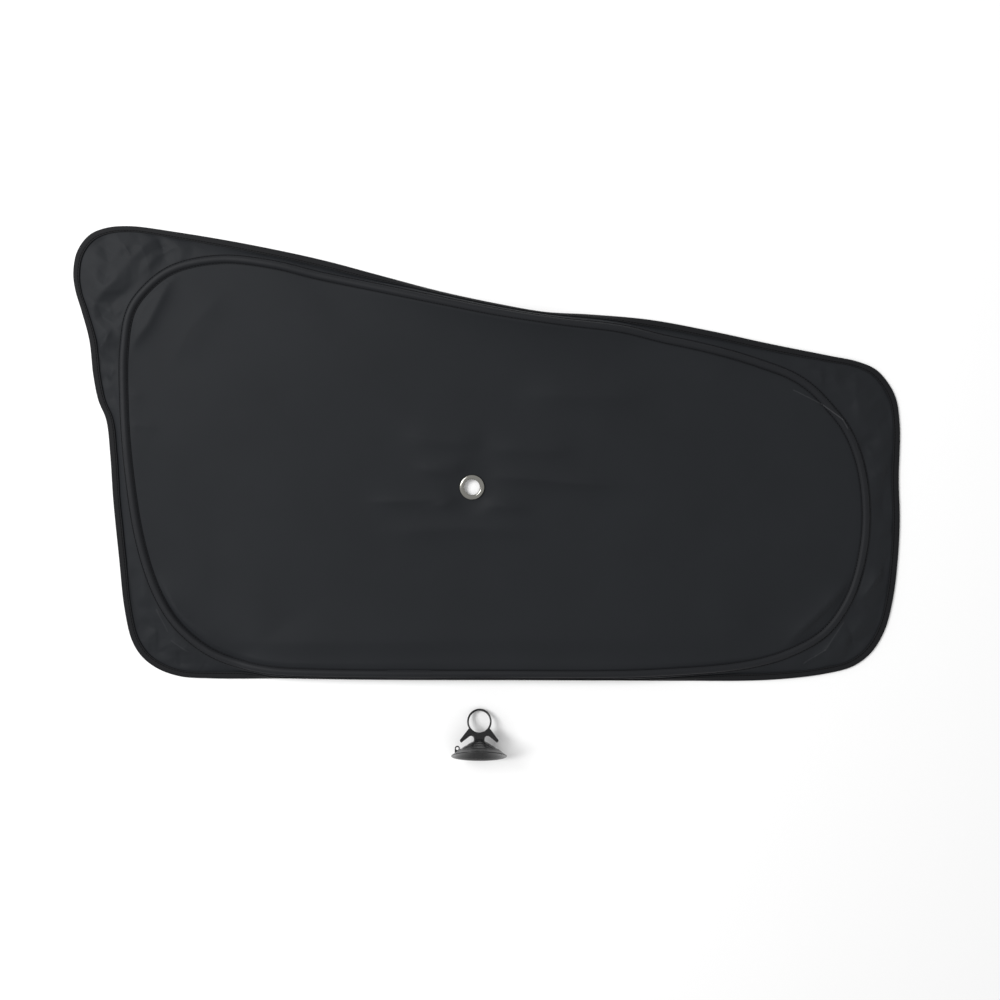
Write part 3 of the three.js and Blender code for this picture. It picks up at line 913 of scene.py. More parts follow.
@dataclass(frozen=True)
class ClothFinish:
    """Black coated cloth, tape or binding.

    Attributes:
        name: name of the material.
        colour: its colour.
        roughness: its roughness.
        gloss: strength of its plain reflection, 0.5 for a plastic.
        pitch: pitch of its weave in millimetres.
        relief: depth of its weave in millimetres.
        turn: direction of its weave.
        highlight_lines: painted highlights along creases, as start, end and strength.
        painted_highlight: colour of the painted highlight along a crease.
        highlight_width: width of a painted crease highlight in millimetres.
    """

    name: str
    colour: Colour
    roughness: float
    gloss: float
    pitch: float
    relief: float
    turn: float = 0.0
    highlight_lines: tuple[tuple[Pair, Pair, float], ...] = ()
    painted_highlight: Colour = Colour(0.2, 0.2, 0.21)
    highlight_width: float = 1.5

    def material(self) -> bpy.types.Material:
        """Return the material, with uneven tone, weave and painted highlights along creases.

        Returns:
            The material.
        """
        made = Mottled(self.name, self.colour, self.gloss, 0.0, (90.0, 5.0))
        tree = made.tree
        colour = made.tone(0.95, 1.05)
        # Each listed line paints a pale highlight along a crease over the cloth's colour.
        for start, end, strength in self.highlight_lines:
            ends = [tuple(Vector((*point, 0.0)) * MM + ORIGIN) for point in (start, end)]
            line = NodeTools.place(
                tree, Effects.crease(), Start=ends[0], End=ends[1], Width=self.highlight_width
            )
            painted_highlight = NodeTools.add(tree, "ShaderNodeMix", data_type="RGBA")
            painted_highlight.inputs["B"].default_value = self.painted_highlight.rgba()
            highlight_mask = NodeTools.math(tree, "MULTIPLY", line.outputs["Mask"], strength)
            tree.links.new(highlight_mask, painted_highlight.inputs["Factor"])
            tree.links.new(colour, painted_highlight.inputs["A"])
            colour = painted_highlight.outputs["Result"]
        tree.links.new(colour, made.shader.inputs["Base Color"])
        made.roughen(self.roughness + 0.01, self.roughness - 0.01, "Tone")
        weave = NodeTools.place(tree, Effects.weave(), Pitch=self.pitch, Turn=self.turn)
        made.emboss(weave.outputs["Height"], 0.35, self.relief)
        return made.material


@dataclass(frozen=True)
class HardFinish:
    """Metal, vinyl or thread.

    Attributes:
        name: name of the material.
        colour: its colour.
        metallic: 1 for a metal.
        roughness: its roughness.
        gloss: strength of its plain reflection.
        grain: size of its fine unevenness in millimetres.
        relief: depth of that unevenness in millimetres.
    """

    name: str
    colour: Colour
    metallic: float
    roughness: float
    gloss: float = 0.5
    grain: float = 1.2
    relief: float = 0.01

    def material(self) -> bpy.types.Material:
        """Return the material, with uneven tone and fine grain.

        Returns:
            The material.
        """
        made = Mottled(self.name, self.colour, self.gloss, self.metallic, (14.0, self.grain))
        colour = made.tone(0.88, 1.08)
        made.tree.links.new(colour, made.shader.inputs["Base Color"])
        made.roughen(self.roughness, min(1.0, self.roughness + 0.12), "Scuff")
        made.emboss(made.mottle.outputs["Scuff"], 0.4, self.relief)
        return made.material


# Painted highlights along the sharpest creases of the cloth and tape: start, end and strength of
# each.
CREASE_HIGHLIGHTS = (
    ((321, 97), (348, 83.5), 0.1),
    ((348, 83.5), (369, 68), 0.2),
    ((369, 68), (374, 59), 0.15),
    ((-315, -122), (-304, -144), 0.06),
    ((-300, -153), (-283, -164), 0.06),
    ((371, -135), (352, -162), 0.07),
    ((352, -162), (332, -176), 0.09),
)
CLOTH = ClothFinish(
    "panel_cloth", Colour(0.0136, 0.015, 0.0173), 0.58, 0.12, 0.45, 0.03, 0.0, CREASE_HIGHLIGHTS
)
TAPE = ClothFinish(
    "channel_tape", Colour(0.0108, 0.0117, 0.0138), 0.56, 0.17, 0.6, 0.05, 0.4, CREASE_HIGHLIGHTS[:3]
)
BINDING = ClothFinish("edge_binding", Colour(0.0072, 0.0076, 0.0088), 0.65, 0.15, 0.9, 0.08, 0.785)
THREAD = HardFinish("black_thread", Colour(0.0025, 0.0025, 0.003), 0.0, 0.8, 0.08, 0.6, 0.03)
STEEL = HardFinish("spring_steel", Colour(0.42, 0.43, 0.45), 1.0, 0.3)
NICKEL = HardFinish("nickel", Colour(0.3, 0.295, 0.27), 1.0, 0.2, 0.5, 0.8, 0.004)
VINYL = HardFinish("black_vinyl", Colour(0.004, 0.004, 0.0048), 0.0, 0.26, 0.42, 1.5, 0.015)


@dataclass
class Cloth:
    """The one piece of cloth, from the eyelet's hole to its bound edge.

    Attributes:
        plan: the stations round the shade.
        hole: radius of the hole under the eyelet.
        flat: radius of the flat round the eyelet.
        eyelet_level: height of the cloth at the eyelet.
        panel_level: its height further out.
        near_rings: rings in the panel's outermost stretch.
        near_reach: width of that stretch.
        far_rings: rings from there to the eyelet.
        skirt_rings: rings between the channel and the binding.
        crumple: height of the skirt's crumples.
        swell: height of the panel's slow waves.
        swell_sizes: how far apart they lie across and up the panel, over 2 pi.
        slack: depth of the wide crumples near the panel's rim.
        slack_size: width of those crumples.
        lowest: lowest level of the skirt's middle over the floor.
        mouth_gap: way from the crumples' end into the binding.
        facet_sizes: widths of the skirt's large and small crumples.
        full_skirt: width from which the skirt crumples in full.
        fold_depth: depth of the panel's folds against their listed rise.
        rim_pucker: waves of the panel along the tape.
        tape_pucker: waves of the skirt along the tape.
        bound_pucker: waves of the skirt along the binding.
    """

    plan: Plan
    hole: float = 8.4
    flat: float = 14.0
    eyelet_level: float = 3.6
    panel_level: float = 4.6
    near_rings: int = 24
    near_reach: float = 60.0
    far_rings: int = 32
    skirt_rings: int = 27
    crumple: float = 2.5
    swell: float = 0.2
    swell_sizes: Pair = (61.0, 43.0)
    slack: float = 0.12
    slack_size: float = 46.0
    lowest: float = 0.55
    mouth_gap: float = 0.8
    facet_sizes: Pair = (21.0, 12.0)
    full_skirt: float = 28.0
    fold_depth: float = 2.0
    rim_pucker: Pucker = Pucker(0.2, 8.0, 5.0, 2)
    tape_pucker: Pucker = Pucker(0.35, 7.0, 4.0, 4)
    bound_pucker: Pucker = Pucker(0.3, 9.0, 4.0, 6)

    def panel(self) -> np.ndarray:
        """Return the points of the taut panel inside the hoop.

        Returns:
            Points by station and ring.
        """
        plan = self.plan
        rim = plan.place(*plan.on_hoop(-plan.seam_edge, 0.0))
        reach = np.hypot(rim[:, 0], rim[:, 1])[:, None]
        ways = rim[:, :2] / reach
        near = np.linspace(0.0, self.near_reach, self.near_rings, endpoint=False)[::-1]
        share = np.linspace(0.0, 1.0, self.far_rings, endpoint=False)[None, :]
        far = self.flat + (reach - self.near_reach - self.flat) * share
        centre = np.array([[self.hole, (self.hole + self.flat) / 2]]) + 0 * reach
        radius = np.hstack([centre, far, reach - near[None, :]])
        x, y = ways[:, :1] * radius, ways[:, 1:] * radius
        g = np.clip((radius - self.flat) / (reach - self.flat), 0.0, 1.0)
        level = self.eyelet_level + (self.panel_level - self.eyelet_level) * np.minimum(1, 2 * g)
        lift = (rim[:, 2:] - level) * g**6
        relief = self.fold_depth * sum(crease.height(x, y) for crease in PANEL_CREASES)
        across, up = self.swell_sizes
        relief += self.swell * np.sin(x / across + 0.4) * np.sin(y / up + 1.1)
        relief += self.slack * facets(x, y, self.slack_size, 5) * smoothstep(g, 0.5, 0.9)
        to_rim = reach - radius
        pucker = self.rim_pucker.height(plan.run()[:, None], to_rim)
        hold = smoothstep(to_rim, 0.0, 5.0) * smoothstep(radius, self.flat, self.flat + 16)
        z = level + lift + relief * hold + pucker * smoothstep(to_rim, 0.0, 2.0)
        return np.stack([x, y, z], axis=2)

    def skirt(self) -> np.ndarray:
        """Return the points of the loose skirt from the channel into the binding.

        Returns:
            Points by station and ring.
        """
        plan = self.plan
        outer_a, outer_h = plan.on_hoop(plan.seam_edge, 0.0)
        back = plan.binding_half - plan.binding_width
        mouth_a, mouth_h = plan.at_edge(back - self.mouth_gap, 0.0)
        size = np.clip(mouth_a - outer_a, 0.0, None)
        run = plan.run()
        rows = []
        for q in np.linspace(0.0, 1.0, self.skirt_rings + 1):
            a = outer_a + (mouth_a - outer_a) * q
            base = outer_h + (mouth_h - outer_h) * q
            point = plan.place(a, base)
            x, y = point[:, 0], point[:, 1]
            hold = math.sin(math.pi * q) ** 0.6 * np.minimum(1.0, size / 18.0)
            large, small = self.facet_sizes
            fold = facets(x, y, large, 3) + 0.5 * facets(x, y, small, 8)
            loose = self.crumple * fold * np.minimum(1.0, size / self.full_skirt)
            loose = loose + sum(crease.height(x, y) for crease in SKIRT_CREASES)
            seam = self.tape_pucker.height(run, q * size)
            seam += self.bound_pucker.height(run, (1.0 - q) * size)
            point[:, 2] = np.maximum(base + (loose + seam) * hold, self.lowest)
            rows.append(point)
        for d in (back, -0.3):
            rows.append(plan.place(*plan.at_edge(d, 0.0)))
        return np.stack(rows, axis=1)

    def build(self) -> bpy.types.Object:
        """Make the cloth.

        Returns:
            The piece.
        """
        points = np.concatenate([self.panel(), self.skirt()], axis=1)
        mesh = MeshMaker.grid("cloth", points, Wrap.ROWS)
        piece = MeshMaker.piece("cloth", mesh, CLOTH.material())
        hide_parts("shade_panel")
        return piece

    @staticmethod
    def flat_area() -> float:
        """Return the area of the cut cloth in square metres."""
        x, y = closed_curve(OUTLINE, 16).T
        return abs(float(np.sum(x * np.roll(y, -1) - y * np.roll(x, -1)))) / 2 * MM**2


@dataclass
class Channel:
    """The tape over the hoop, the wire and its sleeve, and the two seams.

    Attributes:
        plan: the stations round the shade.
        half_width: half the width of the tape.
        seam: way from the middle to each seam.
        crest: height of the tape over the wire.
        cloth_half: half the thickness of the cloth.
        wall: thickness of the tape.
        wire_level: height of the wire's middle over the cloth.
        wire_radius: radius of the wire.
        wire_join: place in the plan where the wire's ends meet.
        lap: places where the tape starts and where its lapped end stops.
        lap_lift: height of the lapped end over the tape below it.
        groove: half the width of the groove that each seam draws in.
        fullness: 2 for a plain arch over the wire, more for a fuller one.
        sag: how far the tape sinks between the wire's high places.
        sag_pitch: rough way from one such place to the next.
        sleeve_radius: outer radius of the sleeve.
        sleeve_reach: stations that the sleeve covers on each side of the join.
        sides: sides of the wire and the sleeve.
    """

    plan: Plan
    half_width: float = 4.7
    seam: float = 3.95
    crest: float = 2.8
    cloth_half: float = 0.2
    wall: float = 0.25
    wire_level: float = 1.3
    wire_radius: float = 1.0
    wire_join: Pair = (60, -193)
    lap: tuple[Pair, Pair] = ((-40, -193), (-82, -193))
    lap_lift: float = 0.42
    groove: float = 0.35
    fullness: float = 2.6
    sag: float = 0.16
    sag_pitch: float = 13.0
    sleeve_radius: float = 1.12
    sleeve_reach: int = 6
    sides: int = 12

    def profile(self) -> tuple[np.ndarray, np.ndarray]:
        """Return the outward places and heights of the tape's upper face.

        Returns:
            Both, from the inner edge to the outer one.
        """
        inner = self.seam - self.groove
        arch = np.linspace(-1.0, 1.0, 17)
        rise = 1.0 - np.abs(arch) ** self.fullness
        foot = self.cloth_half + self.wall + 0.12
        rim_a = np.array([self.seam + 0.3, self.seam + 0.55, self.half_width])
        rim_h = np.array([foot + 0.05, foot + 0.32, foot + 0.12])
        bulge = foot + 0.3 + (self.crest - foot - 0.3) * rise
        a = np.concatenate([-rim_a[::-1], [-self.seam], inner * arch, [self.seam], rim_a])
        h = np.concatenate([rim_h[::-1], [foot - 0.1], bulge, [foot - 0.1], rim_h])
        return a, h

    def strip(self, lift: float) -> np.ndarray:
        """Return the points of the tape at every station.

        Args:
            lift: how far the tape lies above its usual place.

        Returns:
            The points, stations by places round the tape.
        """
        run = self.plan.run()
        a, h = self.profile()
        loose = np.clip(h - 0.8, 0.0, None) / self.crest
        rows = []
        for k, (out, up) in enumerate(zip(a, h)):
            sag = self.sag * waver(run, self.sag_pitch, 1 + k % 2) * loose[k]
            rows.append(self.plan.place(*self.plan.on_hoop(out, up + lift + sag)))
        for out, up in zip(a[::-1], h[::-1]):
            under = max(self.cloth_half + 0.06, up - self.wall) + lift
            rows.append(self.plan.place(*self.plan.on_hoop(out * 0.995, under)))
        return np.stack(rows, axis=1)

    def tape(self) -> bpy.types.Object:
        """Make the tape, with its end lapped over its start.

        Returns:
            The piece.
        """
        rows = self.strip(0.0)
        start, end = (self.plan.station_near(point) for point in self.lap)
        lapped = self.strip(self.lap_lift)[start : end + 1]
        points = np.concatenate([rows.reshape(-1, 3), lapped.reshape(-1, 3)])
        ring = MeshMaker.faces(len(rows), rows.shape[1], Wrap.BOTH)
        strip = MeshMaker.faces(len(lapped), rows.shape[1], Wrap.COLUMNS, rows[..., 0].size)
        mesh = MeshMaker.mesh("channel_tape", points, np.concatenate([ring, strip]))
        piece = MeshMaker.piece("channel_tape", mesh, TAPE.material())
        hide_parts("hoop_tape")
        return piece

    def wire(self) -> list[bpy.types.Object]:
        """Make the sprung wire and the sleeve over its ends.

        Returns:
            The two pieces.
        """
        whole = self.tube(self.wire_radius)
        join = self.plan.station_near(self.wire_join)
        start, end = join - self.sleeve_reach, join + self.sleeve_reach + 1
        short = self.tube(self.sleeve_radius)[start:end]
        pieces = []
        for name, node, points, wrap in (
            ("hoop_wire", "spring_hoop", whole, Wrap.BOTH),
            ("wire_sleeve", "hoop_sleeve", short, Wrap.COLUMNS),
        ):
            piece = MeshMaker.piece(name, MeshMaker.grid(name, points, wrap), STEEL.material())
            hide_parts(node)
            pieces.append(piece)
        return pieces

    def tube(self, radius: float) -> np.ndarray:
        """Return the points of a round rod that runs along the wire's whole loop.

        Args:
            radius: its radius.

        Returns:
            Points by station and side.
        """
        rows = []
        for angle in np.arange(self.sides) * math.pi / (self.sides // 2):
            a, h = radius * math.cos(angle), self.wire_level + radius * math.sin(angle)
            rows.append(self.plan.place(*self.plan.on_hoop(a, h)))
        return np.stack(rows, axis=1)

    def seams(self) -> list[bpy.types.Object]:
        """Make the stitches of both seams.

        Returns:
            The two pieces.
        """
        thread = THREAD.material()
        pieces = []
        for name, side in (("outer_seam", 1), ("inner_seam", -1)):
            level = self.cloth_half + self.wall + 0.14
            path = self.plan.place(*self.plan.on_hoop(side * self.seam, level))
            mesh = Stitching().mesh(name, path)
            piece = MeshMaker.piece(name, mesh, thread)
            pieces.append(piece)
        return pieces


@dataclass
class Binding:
    """The binding folded over the cloth's edge and its stitching.

    Attributes:
        plan: the stations round the shade.
        seam: way from the binding's inner edge to its stitches.
        cloth_gap: half the room inside the fold.
        pucker: height of the waves along the stitches.
        pucker_pitch: rough length of a wave.
        drift: how far the inner edge strays from its line.
        drift_pitch: rough length of one such stray.
    """

    plan: Plan
    seam: float = 1.5
    cloth_gap: float = 0.35
    pucker: float = 0.14
    pucker_pitch: float = 8.0
    drift: float = 0.25
    drift_pitch: float = 31.0

    def outside(self) -> list[Pair]:
        """Return the outer face of the fold, from the top's inner edge to the bottom's.

        Returns:
            Distances from the inner edge and heights.
        """
        half, back = self.plan.binding_half, self.plan.binding_half - self.plan.binding_width
        stitch = back + self.seam
        top = [(back, half - 0.12), (back + 0.5, half - 0.02), (stitch - 0.5, half - 0.06)]
        top += [(stitch, half - 0.22), (stitch + 0.5, half - 0.05)]
        top += [(back + share * (0.2 - back), half) for share in (0.4, 0.6, 0.8)]
        turn = np.radians(np.linspace(75, 0, 6))
        top += [(0.15 + 0.95 * half * math.cos(t), half * math.sin(t)) for t in turn]
        return top + [(d, -m) for d, m in reversed(top[:-1])]

    def build(self) -> bpy.types.Object:
        """Make the folded binding.

        Returns:
            The piece.
        """
        run = self.plan.run()
        shape = self.outside()
        back = shape[0][0]
        rows = []
        for d, m in shape:
            share = (d - back) / -back
            near_seam = 1 - min(1.0, abs(share - 0.25) * 1.2)
            wave = self.pucker * waver(run, self.pucker_pitch, 9) * near_seam
            drift = self.drift * waver(run, self.drift_pitch, 3) * max(0.0, 1 - 1.6 * share)
            up = m + wave if m > 0.3 else m
            rows.append(self.plan.place(*self.plan.at_edge(d + drift, up)))
        gap = self.cloth_gap
        for d, m in ((back, -gap), (0.0, -gap), (0.3, 0.0), (0.0, gap), (back, gap)):
            rows.append(self.plan.place(*self.plan.at_edge(d, m)))
        points = np.stack(rows, axis=1)
        points[..., 2] = np.maximum(points[..., 2], 0.0)
        mesh = MeshMaker.grid("binding", points, Wrap.BOTH)
        piece = MeshMaker.piece("binding", mesh, BINDING.material())
        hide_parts("edge_binding")
        return piece

    def stitches(self) -> bpy.types.Object:
        """Make the row of stitches along the binding's inner edge.

        Returns:
            The piece.
        """
        back = self.plan.binding_half - self.plan.binding_width
        path = self.plan.place(*self.plan.at_edge(back + self.seam, self.plan.binding_half - 0.12))
        mesh = Stitching().mesh("binding_stitches", path)
        piece = MeshMaker.piece("binding_stitches", mesh, THREAD.material())
        return piece


@dataclass
class Eyelet:
    """The nickel eyelet: a domed flange whose barrel is turned over behind.

    Attributes:
        level: height of the cloth round it.
        bore: radius of its hole.
        flange: radius of its flange.
        curl: radius of the turned-over barrel.
        rise: height of the dome.
        segments: sides of the turned shape.
        flutes: number of flutes round its throat.
        flute_depth: their depth.
    """

    level: float = 3.6
    bore: float = 7.8
    flange: float = 12.65
    curl: float = 10.4
    rise: float = 1.7
    segments: int = 144
    flutes: int = 24
    flute_depth: float = 0.05

    def profile(self) -> np.ndarray:
        """Return the radii and heights of the section, once round.

        Returns:
            Pairs of the two.
        """
        foot, under = 0.4, -1.1
        dome = [
            (self.flange - 0.35, foot - 0.12), (self.flange, foot + 0.12),
            (self.flange - 0.12, foot + 0.55), (self.flange - 0.6, foot + 1.1),
            (self.flange - 1.4, foot + 1.52), (self.flange - 2.3, foot + self.rise),
            (self.bore + 1.55, foot + self.rise - 0.04), (self.bore + 0.8, foot + 1.4),
            (self.bore + 0.3, foot + 0.95), (self.bore + 0.06, foot + 0.3), (self.bore, foot - 0.2),
        ]
        barrel = [
            (self.bore, under + 0.2), (self.bore + 0.2, under - 0.25),
            (self.bore + 0.7, under - 0.5), (self.curl - 0.6, under - 0.48),
            (self.curl - 0.1, under - 0.3), (self.curl, under), (self.bore + 0.5, under + 0.05),
            (self.bore + 0.4, foot - 0.1), (self.bore + 1.0, foot + 0.7),
            (self.flange - 2.3, foot + 1.25), (self.flange - 0.9, foot + 0.6),
        ]
        return np.asarray(dome + barrel)

    def build(self) -> bpy.types.Object:
        """Make the eyelet, fluted a little where its barrel was drawn.

        Returns:
            The piece.
        """
        section = self.profile()
        angle = np.arange(self.segments) * 2 * math.pi / self.segments
        radius = section[None, :, 0] + 0 * angle[:, None]
        throat = np.exp(-((section[:, 0] - self.bore - 0.4) ** 2) / 0.35)[None, :]
        radius = radius + self.flute_depth * np.cos(self.flutes * angle)[:, None] * throat
        x, y = radius * np.cos(angle)[:, None], radius * np.sin(angle)[:, None]
        z = self.level + section[None, :, 1] + 0 * x
        mesh = MeshMaker.grid("eyelet_ring", np.stack([x, y, z], axis=2), Wrap.BOTH)
        piece = MeshMaker.piece("eyelet_ring", mesh, NICKEL.material())
        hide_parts("eyelet")
        return piece

    @staticmethod
    def dress_washer() -> None:
        """Give the washer behind the cloth its nickel finish."""
        washer = bpy.data.objects["eyelet_washer"]
        washer.data.materials.clear()
        washer.data.materials.append(NICKEL.material())


@dataclass
class SuctionCup:
    """The vinyl suction cup, lying on its lip and its ring.

    Attributes:
        lip_radius: radius of the lip.
        lip: thickness of the lip.
        cone: height of the cone.
        ribs: radii of the steps on the cone's back.
        step: height of each step.
        wall: thickness of the bowl.
        ring_at: way from the lip to the middle of the ring.
        ring: outer radius of the ring.
        ring_hole: radius of its hole.
        tab: thickness of the tab.
        arm_tip: end of an arm, outwards and along the axis.
        arm_radius: rounding of that end.
        lug: place, half width, hole radius, hole height and thickness of the lug.
        at: middle of the lip in plan.
        segments: sides of the turned bowl.
        tab_round: rounding of the tab's edges.
        lug_round: rounding of the lug's edges.
        sharp: angle in degrees from which an edge shows as sharp.
    """

    lip_radius: float = 27.25
    lip: float = 1.0
    cone: float = 14.0
    ribs: tuple[float, ...] = (5.8, 11.8, 16.8, 22.3)
    step: float = 0.5
    wall: float = 2.2
    ring_at: float = 32.8
    ring: float = 12.2
    ring_hole: float = 10.45
    tab: float = 4.0
    arm_tip: Pair = (17.6, 14.8)
    arm_radius: float = 1.45
    lug: tuple[float, ...] = (-21.4, 2.5, 1.4, 7.6, 2.0)
    at: Pair = (7.5, -261.0)
    segments: int = 144
    tab_round: float = 0.7
    lug_round: float = 0.4
    sharp: float = 38.0

    def back_at(self, radius: float) -> float:
        """Return the height of the cone's plain back at a radius.

        Args:
            radius: distance from the cup's axis.

        Returns:
            The height.
        """
        return self.lip + (self.cone - self.lip) * (self.lip_radius - radius) / (
            self.lip_radius - self.ribs[0]
        )

    def section(self) -> np.ndarray:
        """Return radii and heights of the bowl, from the hollow's middle round the lip.

        Returns:
            Pairs of the two.
        """
        hollow = [
            (r, self.back_at(r) - self.wall - 0.6 * max(0.0, 1 - r / 9.0) ** 2)
            for r in np.linspace(5.0, 24.0, 12)
        ]
        top = self.back_at(5.0) - self.wall
        points = [(0.01, top + 0.3), (2.5, top + 0.15), *hollow, (self.lip_radius - 1.2, 0.12)]
        turn = np.radians(np.linspace(-90, 80, 6))
        edge, thick = self.lip_radius - 0.5, self.lip / 2
        points += [(edge + 0.5 * math.cos(t), thick + thick * math.sin(t)) for t in turn]
        for r, inner in zip(self.ribs[::-1], (*self.ribs[-2::-1], 3.0)):
            base = self.back_at(r)
            points += [(r + 0.5, self.back_at(r + 0.5) + 0.02), (r + 0.08, base + 0.12)]
            points += [(r, base + self.step - 0.1), (r - 0.3, base + self.step + 0.1)]
            middle = (r + inner) / 2
            points.append((middle, (base + self.step + self.back_at(inner)) / 2 + 0.35))
        points += [(3.0, self.cone + 1.6), (0.01, self.cone + 2.0)]
        return np.asarray(points)

    def tab_outline(self) -> list[Pair]:
        """Return the outline of the flat tab: neck, arms and ring.

        Returns:
            Its points in order.
        """
        tip_x, tip_y = self.arm_tip
        neck, foot = self.ribs[0] - 0.5, self.cone - self.wall + 0.8
        root = math.radians(-32)
        root_x = self.ring * math.cos(root)
        root_y = self.ring_at + self.ring * math.sin(root)
        lean = math.atan2(root_y - tip_y, root_x - tip_x) - math.pi / 2
        side = [(neck, foot), (neck, self.cone + 2.2)]
        a, b, c, d = side[1], (neck + 0.2, 19.7), (neck + 3, 19.9), (neck + 4.5, 18.9)
        for t in np.linspace(0.1, 1.0, 10):
            weights = ((1 - t) ** 3, 3 * t * (1 - t) ** 2, 3 * t * t * (1 - t), t**3)
            side.append(tuple(sum(w * p[k] for w, p in zip(weights, (a, b, c, d))) for k in (0, 1)))
        for t in np.linspace(lean - math.pi, lean, 12):
            point = (tip_x + self.arm_radius * math.cos(t), tip_y + self.arm_radius * math.sin(t))
            side.append(point)
        for t in np.linspace(root, math.pi / 2, 26)[:-1]:
            side.append((self.ring * math.cos(t), self.ring_at + self.ring * math.sin(t)))
        crown = (0.0, self.ring_at + self.ring)
        return [*side, crown, *((-x, y) for x, y in reversed(side))]

    @staticmethod
    def plate(
        outline: list[Pair], hole: tuple[float, float, float], thickness: float, round_by: float
    ) -> bpy.types.Mesh:
        """Make a flat plate with rounded edges and a round hole.

        Args:
            outline: outer edge of the plate.
            hole: middle and radius of the hole.
            thickness: thickness of the plate.
            round_by: radius of its rounded edges.

        Returns:
            The mesh, in millimetres, lying in the plane of its outline.
        """
        curve = bpy.data.curves.new("plate", "CURVE")
        curve.dimensions, curve.fill_mode = "2D", "BOTH"
        curve.extrude, curve.bevel_depth = thickness / 2 - round_by, round_by
        curve.bevel_resolution, curve.offset = 3, -round_by
        x, y, radius = hole
        angles = np.linspace(0, 2 * math.pi, 48, endpoint=False)
        ring = [(x + radius * math.cos(t), y - radius * math.sin(t)) for t in angles]
        for loop in (outline, ring):
            spline = curve.splines.new("POLY")
            spline.points.add(len(loop) - 1)
            for point, (px, py) in zip(spline.points, loop):
                point.co = (px, py, 0.0, 1.0)
            spline.use_cyclic_u = True
        holder = bpy.data.objects.new("plate", curve)
        bpy.context.scene.collection.objects.link(holder)
        solid = holder.evaluated_get(bpy.context.evaluated_depsgraph_get())
        made = bpy.data.meshes.new_from_object(solid)
        bpy.data.objects.remove(holder)
        return made

    def build(self) -> bpy.types.Object:
        """Make the whole cup in the place where it comes to rest.

        Returns:
            The piece.
        """
        section = self.section()
        angle = np.arange(self.segments) * 2 * math.pi / self.segments
        radius, along = section[:, 0], section[:, 1]
        x = radius[None, :] * np.cos(angle)[:, None]
        z = radius[None, :] * np.sin(angle)[:, None]
        bowl = np.stack([x, along[None, :] + 0 * x, z], axis=2)
        points, faces = bowl.reshape(-1, 3), MeshMaker.faces(*bowl.shape[:2], Wrap.ROWS)
        at, half, hole, hole_at, thick = self.lug
        turn = np.linspace(0, math.pi, 13)
        lug = [(at - half, 2.5), (at + half, 4.5)]
        lug += [(at + half * math.cos(t), hole_at + half * math.sin(t)) for t in turn]
        ring = (0.0, self.ring_at, self.ring_hole)
        plates = (
            self.plate(self.tab_outline(), ring, self.tab, self.tab_round),
            self.plate(lug, (at, hole_at, hole), thick, self.lug_round),
        )
        polygons = faces.tolist()
        for plate in plates:
            first = len(points)
            points = np.vstack([points, [tuple(v.co) for v in plate.vertices]])
            polygons += [[first + i for i in face.vertices] for face in plate.polygons]
        lean = math.atan2(self.lip_radius - self.tab / 2, self.ring_at + self.ring - self.lip)
        level = self.lip_radius * math.cos(lean) + self.lip * math.sin(lean)
        place = Matrix.Translation(Vector((*self.at, level))) @ Matrix.Rotation(-lean, 4, "X")
        mesh = bpy.data.meshes.new("cup")
        mesh.from_pydata([tuple(place @ Vector(p) * MM + ORIGIN) for p in points], [], polygons)
        mesh.update()
        piece = MeshMaker.piece("cup", mesh, VINYL.material())
        mesh.set_sharp_from_angle(angle=math.radians(self.sharp))
        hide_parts("suction_cup")
        return piece


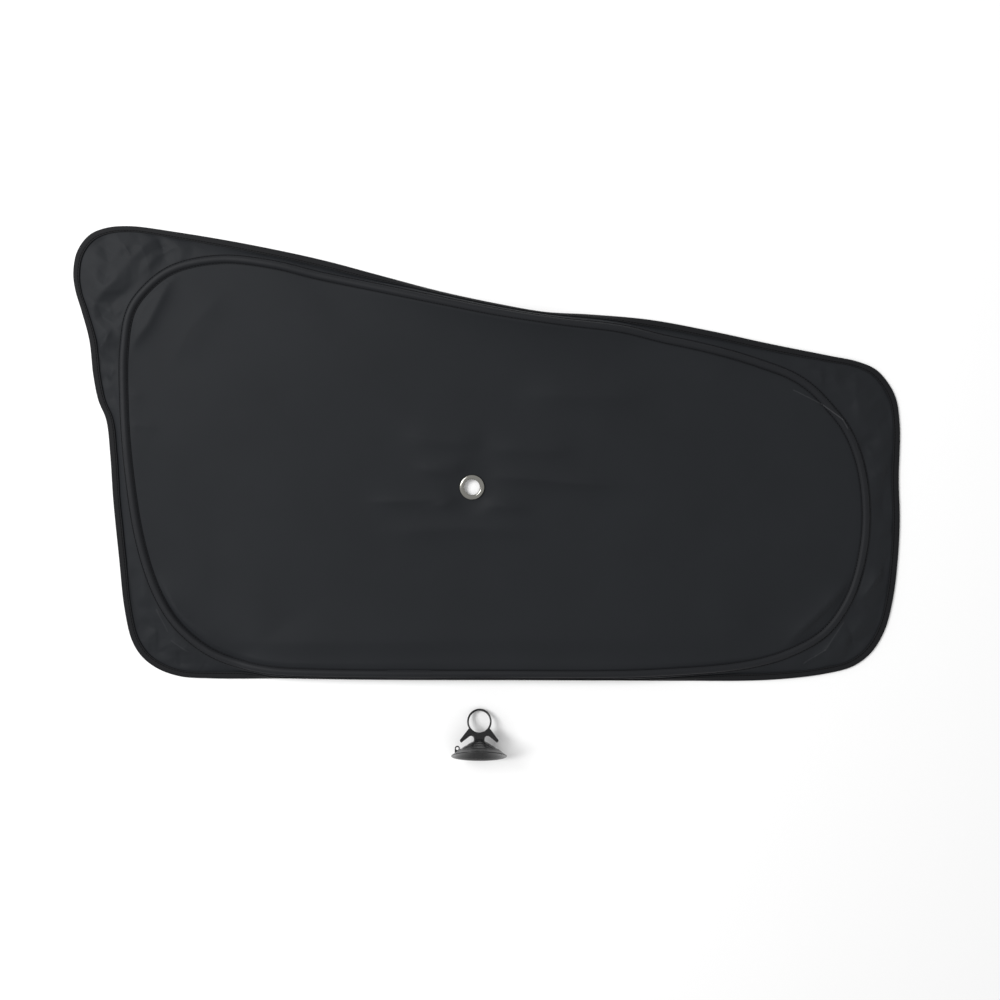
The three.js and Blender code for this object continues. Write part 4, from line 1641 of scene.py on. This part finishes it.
@dataclass
class Studio:
    """The floor, the lights and the camera over the shade.

    Attributes:
        height: height of the camera over the cloth.
        foot: place under the camera.
        level: height at which a millimetre shows as one pixel.
        floor_half: half the side of the floor.
        picture: width and height of the picture in pixels.
        eyelet_row: the picture's row on which the eyelet's middle falls.
        floor_drop: how far the floor lies under the shade.
        floor_tone: how pale the floor is.
        key_at: place of the soft light in plan, in metres.
        key_height: its height in metres.
        key_size: its side in metres.
        key_power: its power in watts.
        sky: brightness of the pale surroundings.
    """

    height: float = 1000.0
    foot: Pair = (28.0, 127.0)
    level: float = 2.0
    floor_half: float = 4000.0
    picture: float = 1000.0
    eyelet_row: float = 487.0
    floor_drop: float = 0.15
    floor_tone: float = 0.96
    key_at: Pair = (-2.6, 1.15)
    key_height: float = 2.6
    key_size: float = 2.2
    key_power: float = 155.0
    sky: float = 0.66

    def floor(self) -> None:
        """Lay the pale floor."""
        ends = (-self.floor_half, self.floor_half)
        points = np.array([[[x, y, -self.floor_drop] for y in ends] for x in ends], float)
        mesh = MeshMaker.grid("floor", points, Wrap.NONE)
        item = bpy.data.objects.new("floor", mesh)
        bpy.context.scene.collection.objects.link(item)
        made = bpy.data.materials.new("pale_floor")
        made.use_nodes = True
        shader = made.node_tree.nodes["Principled BSDF"]
        shader.inputs["Base Color"].default_value = (*3 * (self.floor_tone,), 1.0)
        shader.inputs["Roughness"].default_value = 0.9
        shader.inputs["Specular IOR Level"].default_value = 0.1
        mesh.materials.append(made)

    def lights(self) -> None:
        """Hang the soft light, which shines straight down, and set the pale surroundings."""
        lamp = bpy.data.lights.new("key", "AREA")
        lamp.shape, lamp.size, lamp.energy = "SQUARE", self.key_size, self.key_power
        item = bpy.data.objects.new("key", lamp)
        item.location = (*self.key_at, self.key_height)
        bpy.context.scene.collection.objects.link(item)
        world = bpy.data.worlds.new("studio")
        world.use_nodes = True
        sky = world.node_tree.nodes["Background"]
        sky.inputs["Color"].default_value = (1.0, 1.0, 1.0, 1.0)
        sky.inputs["Strength"].default_value = self.sky
        bpy.context.scene.world = world
        bpy.context.scene.view_settings.view_transform = "Standard"

    def camera(self) -> None:
        """Set the camera over the shade, its picture plane level with the floor."""
        lens = bpy.data.cameras.new("camera")
        lens.sensor_width = 36.0
        lens.lens = lens.sensor_width * self.height / self.picture
        lens.shift_y = (self.eyelet_row - self.foot[1] - self.picture / 2) / self.picture
        item = bpy.data.objects.new("camera", lens)
        item.location = Vector((*self.foot, self.height + self.level)) * MM + ORIGIN
        bpy.context.scene.collection.objects.link(item)
        bpy.context.scene.camera = item


def main() -> None:
    """Build the sunshade piece by piece, then the studio round it."""
    logging.basicConfig(level=logging.INFO, format="%(name)s: %(message)s")
    plan = Plan()
    cloth = Cloth(plan).build()
    channel = Channel(plan)
    trim = [channel.tape(), *channel.seams()]
    wires = channel.wire()
    binding = Binding(plan)
    trim += [binding.build(), binding.stitches()]
    eyelet = Eyelet()
    trim.append(eyelet.build())
    eyelet.dress_washer()
    SuctionCup().build()
    Cloth.flat_area()
    studio = Studio()
    studio.floor()
    studio.lights()
    studio.camera()


if __name__ == "__main__":
    main()
